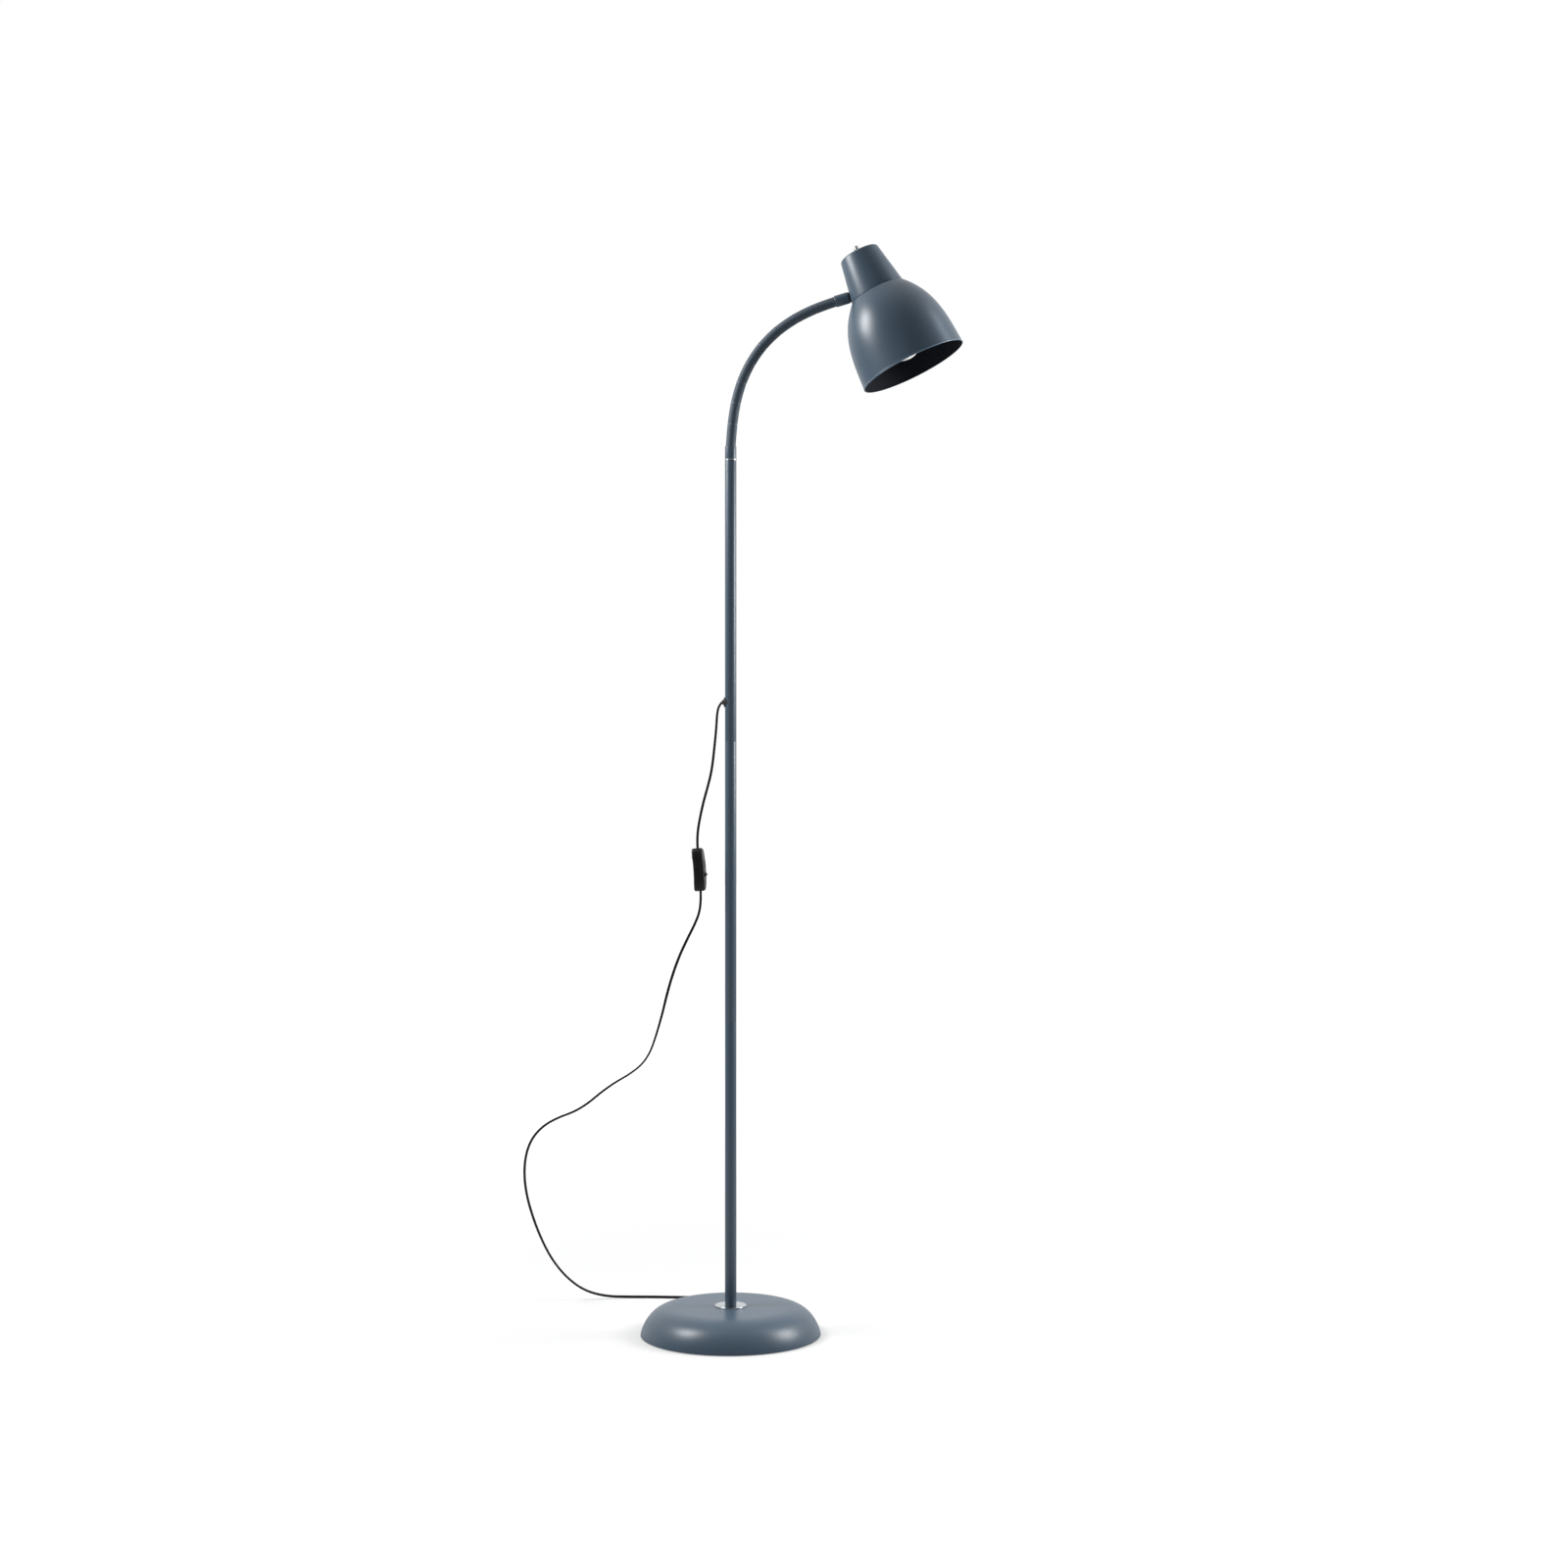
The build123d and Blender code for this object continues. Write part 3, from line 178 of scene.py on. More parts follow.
def enclosed(points: Array, corners: Array, starts: Array) -> float:
    """Return the volume inside closed faces, negative where they point inwards.

    Each face adds the volume of the wedge between the origin and its first three corners, and a
    quad adds its second half too.

    Args:
        points: The vertices.
        corners: The vertex number of every face corner.
        starts: Where each face starts among the corners.
    """
    first, second, third = (points[corners[starts + step]] for step in range(3))
    volume = np.sum(first * np.cross(second, third))
    sizes = np.diff(np.append(starts, len(corners)))
    quads = starts[sizes == 4]
    first, third, fourth = (points[corners[quads + step]] for step in (0, 2, 3))
    return float(volume + np.sum(first * np.cross(third, fourth)))


def surface(
    name: str,
    grid: Array,
    close_rows: bool = False,
    values: dict[str, Array] | None = None,
) -> Object:
    """Make a closed mesh from a grid of places, with its faces turned outwards.

    Args:
        name: The piece's name.
        grid: Places in millimetres, as rings of equal length, one ring for each row. A ring that
            has shrunk to a point becomes a pole.
        close_rows: Whether the last ring joins the first.
        values: Numbers from 0 to 1 to keep at the points, by name.

    Returns:
        The object, linked into the scene.
    """
    count, around = grid.shape[:2]
    numbers = np.arange(count * around).reshape(count, around)
    is_pole = np.ptp(grid, axis=1).max(axis=-1) < 1e-7
    numbers[is_pole] = numbers[is_pole][:, :1]
    used, packed = np.unique(numbers, return_inverse=True)
    points = grid.reshape(-1, 3)[used] * MM
    corners, starts = grid_faces(packed.reshape(count, around), close_rows)
    if enclosed(points, corners, starts) < 0:
        ends = np.append(starts[1:], len(corners))
        owner = np.repeat(np.arange(len(starts)), ends - starts)
        corners = corners[starts[owner] + ends[owner] - 1 - np.arange(len(corners))]

    mesh = bpy.data.meshes.new(name)
    mesh.vertices.add(len(points))
    mesh.vertices.foreach_set("co", points.astype(np.float32).ravel())
    mesh.loops.add(len(corners))
    mesh.loops.foreach_set("vertex_index", corners.astype(np.int32))
    mesh.polygons.add(len(starts))
    mesh.polygons.foreach_set("loop_start", starts.astype(np.int32))
    for label, number in (values or {}).items():
        layer = mesh.attributes.new(label, "FLOAT", "POINT")
        layer.data.foreach_set("value", number.reshape(-1)[used].astype(np.float32))
    mesh.update(calc_edges=True)
    mesh.validate()
    mesh.shade_smooth()
    mesh.set_sharp_from_angle(angle=SHARP_ANGLE)
    return linked(bpy.data.objects.new(name, mesh))


def linked(made: Object) -> Object:
    """Link an object into the scene and return it."""
    bpy.context.scene.collection.objects.link(made)
    return made


def rounded(corners: Corners, steps: int = 5) -> Array:
    """Return a closed outline whose corners are circular arcs.

    An arc of radius r meets both sides at r / tan(half the corner's angle) from the corner, about
    a centre r / sin(half the angle) away, and its points are spaced evenly by angle.

    Args:
        corners: Each corner's two coordinates and its radius.
        steps: The number of points on an arc.
    """
    table = np.asarray(corners, float)
    at, radius = table[:, :2], table[:, 2]
    back, ahead = unit(np.roll(at, 1, axis=0) - at), unit(np.roll(at, -1, axis=0) - at)
    half = np.arccos(np.clip(np.sum(back * ahead, axis=1), -1, 1)) / 2
    straight = half > pi / 2 - 1e-6
    middle = np.where(straight[:, None], 0, back + ahead)
    middle = middle / np.maximum(np.linalg.norm(middle, axis=1, keepdims=True), 1e-9)
    centre = at + middle * (radius / np.sin(half))[:, None]
    reach = np.where(straight, 0, radius / np.tan(half))[:, None]
    start, end = at + back * reach - centre, at + ahead * reach - centre
    turn = np.maximum(pi - 2 * half, 1e-6)[:, None]
    share = np.linspace(0, 1, steps)[None, :]
    first = (np.sin((1 - share) * turn) / np.sin(turn))[..., None]
    last = (np.sin(share * turn) / np.sin(turn))[..., None]
    arcs = (centre[:, None] + first * start[:, None] + last * end[:, None]).reshape(-1, 2)
    gaps = np.linalg.norm(arcs - np.roll(arcs, 1, axis=0), axis=1)
    return arcs[gaps > 1e-6]


def lathe(
    name: str,
    profile: Array,
    axes: Axes,
    around: int = 96,
    closed: bool = True,
    values: dict[str, Array] | None = None,
) -> Object:
    """Turn a profile about an axis.

    Point (i, a) lies at radius r_i in the direction cos(a) out + sin(a) side, at height h_i.

    Args:
        name: The piece's name.
        profile: Rows of radius and height, in millimetres.
        axes: The profile turns about the up direction.
        around: The number of points in each ring.
        closed: Whether the profile is a closed outline clear of the axis.
        values: Numbers from 0 to 1 to keep at each row of the profile, by name.
    """
    angle = full_turn(around)
    radius, height = profile[:, :1], profile[:, 1:]
    grid = axes.points(radius * np.cos(angle), radius * np.sin(angle), height)
    kept = {
        label: np.broadcast_to(number[:, None], grid.shape[:2])
        for label, number in (values or {}).items()
    }
    return surface(name, grid, close_rows=closed, values=kept)


def turned(name: str, corners: Corners, axes: Axes, around: int = 96, steps: int = 5) -> Object:
    """Turn a closed outline with rounded corners about an axis.

    Args:
        name: The piece's name.
        corners: Each corner's radius, its height and the radius of its arc.
        axes: The outline turns about the up direction.
        around: The number of points in each ring.
        steps: The number of points on an arc.
    """
    return lathe(name, rounded(corners, steps), axes, around)


def signed_power(value: Array, power: Any) -> Array:
    """Raise numbers to a power and keep their signs."""
    return np.sign(value) * np.abs(value) ** power


def loft(
    name: str,
    stations: Array,
    axes: Axes,
    around: int = 72,
    closed: bool = False,
    shift: Callable[[Array, Array], Array] | None = None,
) -> Object:
    """Carry a rounded outline along an axis.

    Point (i, a) is a_i |cos a|^(2/n) out, b_i |sin a|^(2/n) side and h_i up, with the signs of the
    cosine and the sine. The power n is 2 for an ellipse and more for a squarer outline.

    Args:
        name: The piece's name.
        stations: Rows of half length a, half width b, power n and height h.
        axes: Where the outline lies and where it is carried.
        around: The number of points in each ring.
        closed: Whether the last outline joins the first.
        shift: Returns the height at each (half length, height), for a curved face.
    """
    angle = full_turn(around)
    length, width, power, height = (stations[:, column, None] for column in range(4))
    out = length * signed_power(np.cos(angle), 2 / power)
    side = width * signed_power(np.sin(angle), 2 / power)
    height = np.broadcast_to(height, out.shape)
    if shift is not None:
        height = shift(out, height)
    return surface(name, axes.points(out, side, height), close_rows=closed)


def dressed(piece: Object, finish: "Finish", body: str, *nodes: str, slot: str = "") -> Object:
    """Give a piece its finish, its body and the nodes that it stands for.

    Args:
        piece: The object.
        finish: What it is made of.
        body: The body that it rides on.
        nodes: The nodes that it replaces.
        slot: The record's material slot, where it isn't the finish's own name. Not used.
    """
    piece.data.materials.append(finish.material())
    if nodes:
        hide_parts(*nodes)
    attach(piece, body)
    LOG.info("%s: %d faces on %s", piece.name, len(piece.data.polygons), body)
    return piece


# ============================================================================ shader maths
Term = Union["Signal", float]


class Shader:
    """One material's or world's node tree, with the only method that makes nodes in it."""

    def __init__(self, tree: bpy.types.NodeTree) -> None:
        """Empty the tree and keep it."""
        self.tree = tree
        tree.nodes.clear()

    def node(
        self, kind: str, settings: dict[str, Any] | None = None, **inputs: Any
    ) -> bpy.types.Node:
        """Make a node, set it up and fill its sockets.

        Args:
            kind: The node's type without its Shader Node prefix.
            settings: Its own properties, set first.
            inputs: Values or links by socket name, with underscores for spaces. A name that ends
                in a number, such as in_1, is the socket with that number.

        Returns:
            The node.
        """
        made = self.tree.nodes.new("ShaderNode" + kind)
        for key, value in (settings or {}).items():
            setattr(made, key, value)
        for key, value in inputs.items():
            socket = made.inputs[int(key[3:]) if key[:3] == "in_" else key.replace("_", " ")]
            if isinstance(value, Signal):
                self.tree.links.new(value.socket, socket)
            elif isinstance(value, bpy.types.NodeSocket):
                self.tree.links.new(value, socket)
            elif value is not None:
                socket.default_value = value
        return made

    def noise(self, where: Any, scale: float, detail: float = 2.0) -> "Signal":
        """Return soft noise from 0 to 1 with that many cells in a metre."""
        made = self.node("TexNoise", Vector=where, Scale=scale, Detail=detail)
        return Signal(self, made.outputs[0])

    def mix(self, first: Any, second: Any, share: Term) -> bpy.types.NodeSocket:
        """Mix two colours by a share from 0 to 1 and return the colour's socket."""
        made = self.node(
            "Mix", {"data_type": "RGBA", "clamp_factor": True}, in_0=share, in_6=first, in_7=second
        )
        return made.outputs[2]

    def coat(self, tone: Any, roughness: Term, **inputs: Any) -> bpy.types.Node:
        """Make a principled surface.

        Args:
            tone: Its base colour.
            roughness: How dull it is.
            inputs: The other sockets to fill.
        """
        return self.node("BsdfPrincipled", Base_Color=tone, Roughness=roughness, **inputs)

    def object_place(self) -> bpy.types.NodeSocket:
        """Return the place on the piece in metres."""
        return self.node("TexCoord").outputs["Object"]

    def kept(self, name: str) -> "Signal":
        """Return the number that the mesh keeps under that name."""
        return Signal(self, self.node("Attribute", {"attribute_name": name}).outputs["Fac"])

    def bump(self, height: "Signal", depth: float) -> bpy.types.NodeSocket:
        """Return a normal from a height of 0 to 1 that is that many millimetres deep."""
        made = self.node("Bump", Height=height, Distance=depth * MM, Strength=1.0)
        return made.outputs["Normal"]


class Signal:
    """A shader socket that Python arithmetic works on, each sum adding its Math node."""

    def __init__(self, shader: Shader, socket: bpy.types.NodeSocket) -> None:
        """Keep a socket with the shader that it belongs to."""
        self.shader = shader
        self.socket = socket

    def _math(self, operation: str, *terms: Term, clamp: bool = False) -> "Signal":
        """Add a Math node for an operation on some terms."""
        inputs = {f"in_{place}": term for place, term in enumerate(terms)}
        made = self.shader.node("Math", {"operation": operation, "use_clamp": clamp}, **inputs)
        return Signal(self.shader, made.outputs[0])

    def __add__(self, other: Term) -> "Signal":
        """Return self + other."""
        return self._math("ADD", self, other)

    def __radd__(self, other: float) -> "Signal":
        """Return other + self."""
        return self._math("ADD", other, self)

    def __sub__(self, other: Term) -> "Signal":
        """Return self - other."""
        return self._math("SUBTRACT", self, other)

    def __rsub__(self, other: float) -> "Signal":
        """Return other - self."""
        return self._math("SUBTRACT", other, self)

    def __mul__(self, other: Term) -> "Signal":
        """Return self times other."""
        return self._math("MULTIPLY", self, other)

    def __rmul__(self, other: float) -> "Signal":
        """Return other times self."""
        return self._math("MULTIPLY", other, self)

    def eased(self, start: float, end: float) -> "Signal":
        """Return u^2 (3 - 2 u), with u the place between start and end, held from 0 to 1."""
        share = (self - start) * (1 / (end - start))
        share = self._math("ADD", share, 0.0, clamp=True)
        return share * share * (3.0 - 2.0 * share)


# ============================================================================ finishes
_made: dict["Finish", bpy.types.Material] = {}


def opaque(colour: Colour, factor: float = 1.0) -> list[float]:
    """Return a colour times a factor, with an alpha of 1."""
    return [*(part * factor for part in colour), 1.0]


@dataclass(frozen=True)
class Finish:
    """What a surface is made of.

    Attributes:
        name: The material's name.
        colour: Its base colour, linear.
        roughness: How dull it is, from 0 to 1.
    """

    name: str
    colour: Colour
    roughness: float

    def material(self) -> bpy.types.Material:
        """Return the material, made the first time that it is asked for."""
        if self not in _made:
            made = bpy.data.materials.new(self.name)
            made.use_nodes = True
            shader = Shader(made.node_tree)
            surface_node = self.surface(shader, shader.object_place())
            shader.node("OutputMaterial", Surface=surface_node.outputs[0])
            _made[self] = made
        return _made[self]

    def surface(self, shader: Shader, where: bpy.types.NodeSocket) -> bpy.types.Node:
        """Build the nodes and return the last one.

        Args:
            shader: The material's tree.
            where: The place on the piece.
        """
        raise NotImplementedError

    def tone(self, factor: float) -> list[float]:
        """Return the base colour times a factor, with an alpha of 1."""
        return opaque(self.colour, factor)


@dataclass(frozen=True)
class PowderCoat(Finish):
    """Satin powder coat: a fine orange peel, faint cloudiness in tone and gloss, and a painted
    highlight.

    Attributes:
        peel: Depth of the orange peel, in millimetres.
        painted_rim_highlight: How pale the painted highlight is, where the mesh keeps that name.
        clouds: Patches of tone in a metre.
        bumps: Cells of the orange peel in a metre.
        grains: Cells of the finest grain in a metre.
    """

    peel: float = 0.03
    painted_rim_highlight: float = 1.9
    clouds: float = 14.0
    bumps: float = 420.0
    grains: float = 1500.0

    def surface(self, shader: Shader, where: bpy.types.NodeSocket) -> bpy.types.Node:
        """Build the paint's nodes and return the last one."""
        clouds = shader.noise(where, self.clouds, 3.0)
        grain = shader.noise(where, self.grains)
        peel = shader.noise(where, self.bumps)
        tone = shader.mix(self.tone(0.94), self.tone(1.07), clouds * 0.6 + grain * 0.4)
        # Painted highlight: the tone turns pale along the marked rim, standing in for light caught
        # there.
        tone = shader.mix(tone, self.tone(self.painted_rim_highlight), shader.kept("painted_rim_highlight") * (0.7 + 0.3 * clouds))
        roughness = self.roughness - 0.03 + 0.05 * clouds + 0.03 * grain
        normal = shader.bump(peel * 0.75 + grain * 0.25, self.peel)
        return shader.coat(tone, roughness, Normal=normal)


@dataclass(frozen=True)
class PowderCoatWithPaintedShade(PowderCoat):
    """Powder coat with painted shade: a flat near-black coat on the face where the mesh keeps
    "inside".

    Attributes:
        lining: Colour of the painted shade, linear.
        lining_roughness: How dull it is.
        lining_shine: How strongly it mirrors.
        sand: Cells of its sandy grain in a metre.
    """

    lining: Colour = (0.009, 0.011, 0.016)
    lining_roughness: float = 0.7
    lining_shine: float = 0.12
    sand: float = 600.0

    def surface(self, shader: Shader, where: bpy.types.NodeSocket) -> bpy.types.Node:
        """Build the nodes of the paint and of the painted shade, and return the one that joins
        them.
        """
        paint = super().surface(shader, where)
        sand = shader.noise(where, self.sand, 3.0)
        tone = shader.mix(opaque(self.lining, 0.8), opaque(self.lining, 1.2), sand)
        roughness = self.lining_roughness + 0.1 * sand
        inner = shader.coat(tone, roughness, Specular_IOR_Level=self.lining_shine)
        # Painted shade: the inside mask mixes in the near-black coat.
        return shader.node(
            "MixShader", in_0=shader.kept("inside"), in_1=paint.outputs[0], in_2=inner.outputs[0]
        )


@dataclass(frozen=True)
class RibbedPaint(Finish):
    """Matt paint on the gooseneck: painted shade and a duller gloss in the grooves the mesh keeps
    as "groove".

    Attributes:
        grain: Depth of the grain, in millimetres.
        grains: Cells of the grain in a metre.
        clouds: Patches of tone in a metre.
    """

    grain: float = 0.01
    grains: float = 2600.0
    clouds: float = 30.0

    def surface(self, shader: Shader, where: bpy.types.NodeSocket) -> bpy.types.Node:
        """Build the sleeve's nodes and return the last one."""
        depth = shader.kept("groove")
        clouds = shader.noise(where, self.clouds, 3.0)
        grain = shader.noise(where, self.grains)
        # Painted shade: darker by the groove depth, times a random cloudy tone.
        shade = (1.0 - depth * 0.75) * (0.85 + 0.3 * clouds)
        tone = shader.mix(self.tone(0.45), self.tone(1.12), shade)
        roughness = self.roughness + 0.18 * depth + 0.08 * clouds - 0.04
        normal = shader.bump(grain, self.grain)
        return shader.coat(tone, roughness, Normal=normal)


class Brushing(Enum):
    """The direction of a metal's fine scratches."""

    NONE = (1.0, 1.0, 1.0)
    ROUND = (0.06, 0.06, 1.0)


@dataclass(frozen=True)
class Metal(Finish):
    """Bare or plated metal with fine scratches and a few smudges.

    Attributes:
        brushing: The direction of the scratches.
        scratch: Depth of the scratches, in millimetres.
        scratches: How many cross a metre.
        smudges: Patches of dullness in a metre.
    """

    brushing: Brushing = Brushing.NONE
    scratch: float = 0.004
    scratches: float = 2200.0
    smudges: float = 60.0

    def surface(self, shader: Shader, where: bpy.types.NodeSocket) -> bpy.types.Node:
        """Build the metal's nodes and return the last one."""
        stretched = shader.node(
            "Mapping", {"vector_type": "POINT"}, Vector=where, Scale=self.brushing.value
        ).outputs[0]
        scratches = shader.noise(stretched, self.scratches, 4.0)
        smudges = shader.noise(where, self.smudges, 3.0)
        tone = shader.mix(self.tone(0.9), self.tone(1.03), scratches * 0.5 + smudges * 0.5)
        roughness = self.roughness + 0.12 * smudges * scratches
        normal = shader.bump(scratches, self.scratch)
        return shader.coat(tone, roughness, Metallic=1.0, Normal=normal)


@dataclass(frozen=True)
class Moulding(Finish):
    """Moulded plastic or rubber with a fine sparked grain.

    Attributes:
        grain: Depth of the grain, in millimetres.
        grains: Cells of the grain in a metre.
        dust: How much paler the dustiest patches are.
        shine: How strongly it mirrors, from 0 to 1.
        patches: Dusty patches in a metre.
    """

    grain: float = 0.02
    grains: float = 1800.0
    dust: float = 0.25
    shine: float = 0.5
    patches: float = 45.0

    def surface(self, shader: Shader, where: bpy.types.NodeSocket) -> bpy.types.Node:
        """Build the moulding's nodes and return the last one."""
        sparks = shader.noise(where, self.grains, 3.0)
        patches = shader.noise(where, self.patches, 3.0)
        tone = shader.mix(self.tone(0.85), self.tone(1.1 + self.dust), patches * 0.7 + sparks * 0.3)
        roughness = self.roughness - 0.06 + 0.12 * patches + 0.04 * sparks
        normal = shader.bump(sparks, self.grain)
        return shader.coat(tone, roughness, Specular_IOR_Level=self.shine, Normal=normal)


@dataclass(frozen=True)
class Casting(Finish):
    """Raw cast iron: a sandy skin with darker scale.

    Attributes:
        sand: Depth of the sandy skin, in millimetres.
        sands: Cells of the skin in a metre.
        scales: Patches of scale in a metre.
        metal: How metallic it looks, from 0 to 1.
    """

    sand: float = 0.25
    sands: float = 700.0
    scales: float = 35.0
    metal: float = 0.6

    def surface(self, shader: Shader, where: bpy.types.NodeSocket) -> bpy.types.Node:
        """Build the casting's nodes and return the last one."""
        sand = shader.noise(where, self.sands, 4.0)
        scale = shader.noise(where, self.scales, 4.0)
        tone = shader.mix(self.tone(0.6), self.tone(1.3), scale * 0.7 + sand * 0.3)
        normal = shader.bump(sand, self.sand)
        roughness = self.roughness + 0.15 * sand
        return shader.coat(tone, roughness, Metallic=self.metal, Normal=normal)


@dataclass(frozen=True)
class OpalGlass(Finish):
    """White frosted glass: a soft even face with a faint gloss.

    Attributes:
        translucence: Share of the light that it scatters inside.
        scatter: How far red, green and blue light goes inside, in metres.
        frost: Cells of the frosting in a metre.
    """

    translucence: float = 0.35
    scatter: Colour = (0.01, 0.01, 0.009)
    frost: float = 900.0

    def surface(self, shader: Shader, where: bpy.types.NodeSocket) -> bpy.types.Node:
        """Build the glass's nodes and return the last one."""
        frost = shader.noise(where, self.frost)
        tone = shader.mix(self.tone(0.97), self.tone(1.0), frost)
        return shader.coat(
            tone,
            self.roughness + 0.08 * frost,
            Subsurface_Weight=self.translucence,
            Subsurface_Radius=self.scatter,
            Subsurface_Scale=1.0,
        )


LAMP_PAINT = PowderCoat("lamp_paint", (0.055, 0.087, 0.124), 0.35)
# The bell's paint, with painted shade on its inner face.
SHADE_PAINT = PowderCoatWithPaintedShade("shade_paint", LAMP_PAINT.colour, LAMP_PAINT.roughness)
NECK_SLEEVE = RibbedPaint("neck_sleeve", (0.046, 0.070, 0.099), 0.50)
RING_CHROME = Metal("ring_chrome", (0.52, 0.55, 0.58), 0.16, Brushing.ROUND, 0.001)
TRIM_STEEL = Metal("trim_steel", (0.80, 0.80, 0.78), 0.25, Brushing.ROUND, 0.002)
ZINC_STEEL = Metal("zinc_steel", (0.58, 0.59, 0.60), 0.35, Brushing.ROUND)
KNOB_STEEL = Metal("knob_steel", (0.76, 0.75, 0.73), 0.46, Brushing.ROUND)
CONTACT_BRASS = Metal("contact_brass", (0.75, 0.56, 0.25), 0.30)
CAP_METAL = Metal("bulb_cap_metal", (0.78, 0.78, 0.79), 0.32, Brushing.ROUND)
WEIGHT_IRON = Casting("weight_iron", (0.10, 0.10, 0.105), 0.62)
FOOT_RUBBER = Moulding("foot_rubber", (0.020, 0.020, 0.021), 0.85, 0.15, 900.0)
BLACK_RUBBER = Moulding("black_rubber", (0.013, 0.013, 0.014), 0.62, 0.02, 1800.0, 0.25, 0.3)
BLACK_PLASTIC = Moulding("black_plastic", (0.006, 0.006, 0.007), 0.36, 0.02, 1400.0, 0.2, 0.3)
HOLDER_PLASTIC = Moulding("holder_plastic", (0.022, 0.022, 0.024), 0.5, 0.02)
CORD_SHEATH = Moulding("cord_sheath", (0.005, 0.005, 0.006), 0.45, 0.008, 900.0, 0.1, 0.2)
OPAL_GLASS = OpalGlass("bulb_glass", (0.90, 0.90, 0.88), 0.28)

CARRIED_OVER = {
    finish.name: finish
    for finish in (
        LAMP_PAINT, NECK_SLEEVE, WEIGHT_IRON, FOOT_RUBBER, RING_CHROME, ZINC_STEEL, KNOB_STEEL,
        BLACK_RUBBER, BLACK_PLASTIC, CORD_SHEATH, HOLDER_PLASTIC, CONTACT_BRASS, OPAL_GLASS,
        CAP_METAL,
    )
}


def dress_carried_nodes() -> None:
    """Give every node of the frame the finish of its material slot."""
    for entry in frame["record"]["subparts"]:
        node = frame["nodes"][entry["node"]]
        finish = CARRIED_OVER[entry["material_slot"]]
        node.data.materials.clear()
        node.data.materials.append(finish.material())
        LOG.info("node %s in %s", node.name, finish.name)


# ============================================================================ base
@dataclass
class Base:
    """The weighted foot: a domed steel cover, its floor pad and the bright ring at the pole."""

    radius: float = 125
    height: float = 39.5
    flat_radius: float = 71
    edge_out: float = 0.645
    edge_up: float = 1.5
    wall: float = 1.6
    floor_gap: float = 1.0
    bore: float = 5.05
    pad_radius: float = 112
    pad_height: float = 2.0
    pad_dish: float = 0.4
    pad_soft: float = 0.5
    ring_radius: float = 22
    ring_height: float = 1.5
    ring_undercut: float = 0.6
    edge_points: int = 56

    def edge(self, inset: float) -> Array:
        """Return the rounded edge from its foot to the flat top.

        The radius grows with the cosine and the height with the sine of one angle, each to its
        own power.

        Args:
            inset: How far inside the outer face it runs.
        """
        angle = np.linspace(0, pi / 2, self.edge_points)
        across = np.maximum(np.cos(angle), 0) ** self.edge_out
        radius = self.flat_radius + (self.radius - inset - self.flat_radius) * across
        rise = self.height - inset - self.floor_gap
        return np.stack([radius, self.floor_gap + rise * np.sin(angle) ** self.edge_up], axis=1)

    def cover(self) -> Object:
        """Turn the cover from its outer and inner edges."""
        hole = [(self.bore, self.height), (self.bore, self.height - self.wall)]
        flat = np.linspace(self.flat_radius, self.bore, 12)[1:-1]
        top = np.stack([flat, np.full_like(flat, self.height)], axis=1)
        profile = np.concatenate([self.edge(0), top, hole, self.edge(self.wall)[::-1]])
        return lathe("base_cover", profile, UPRIGHT, 192)

    def ring(self) -> Object:
        """Turn the bright ring, undercut at its lower edge."""
        foot, top = self.height, self.height + self.ring_height
        corners = [
            (self.bore, foot, 0),
            (self.ring_radius - self.ring_undercut, foot, 0),
            (self.ring_radius - self.ring_undercut, foot + 0.3, 0),
            (self.ring_radius, foot + 0.5, 0.1),
            (self.ring_radius, top, 0.6),
            (self.bore, top, 0),
        ]
        return turned("foot_ring", corners, UPRIGHT, 128)

    def pad(self) -> Object:
        """Turn the foam pad, with soft edges and a shallow dish under its middle."""
        radius, height, soft = self.pad_radius, self.pad_height, self.pad_soft
        dish = [(0, self.pad_dish), (radius * 0.8, self.pad_dish), (radius * 0.83, 0)]
        side = [(radius - soft, 0), (radius, soft), (radius, height - soft / 2)]
        top = [(radius - soft / 2, height), (0, height)]
        return lathe("floor_pad", np.array(dish + side + top), UPRIGHT, 128, closed=False)

    def build(self) -> None:
        """Make the foot's pieces."""
        dressed(self.cover(), LAMP_PAINT, "root", "base_shell")
        dressed(self.ring(), RING_CHROME, "root", "base_ring")
        dressed(self.pad(), FOOT_RUBBER, "root", "base_pad")


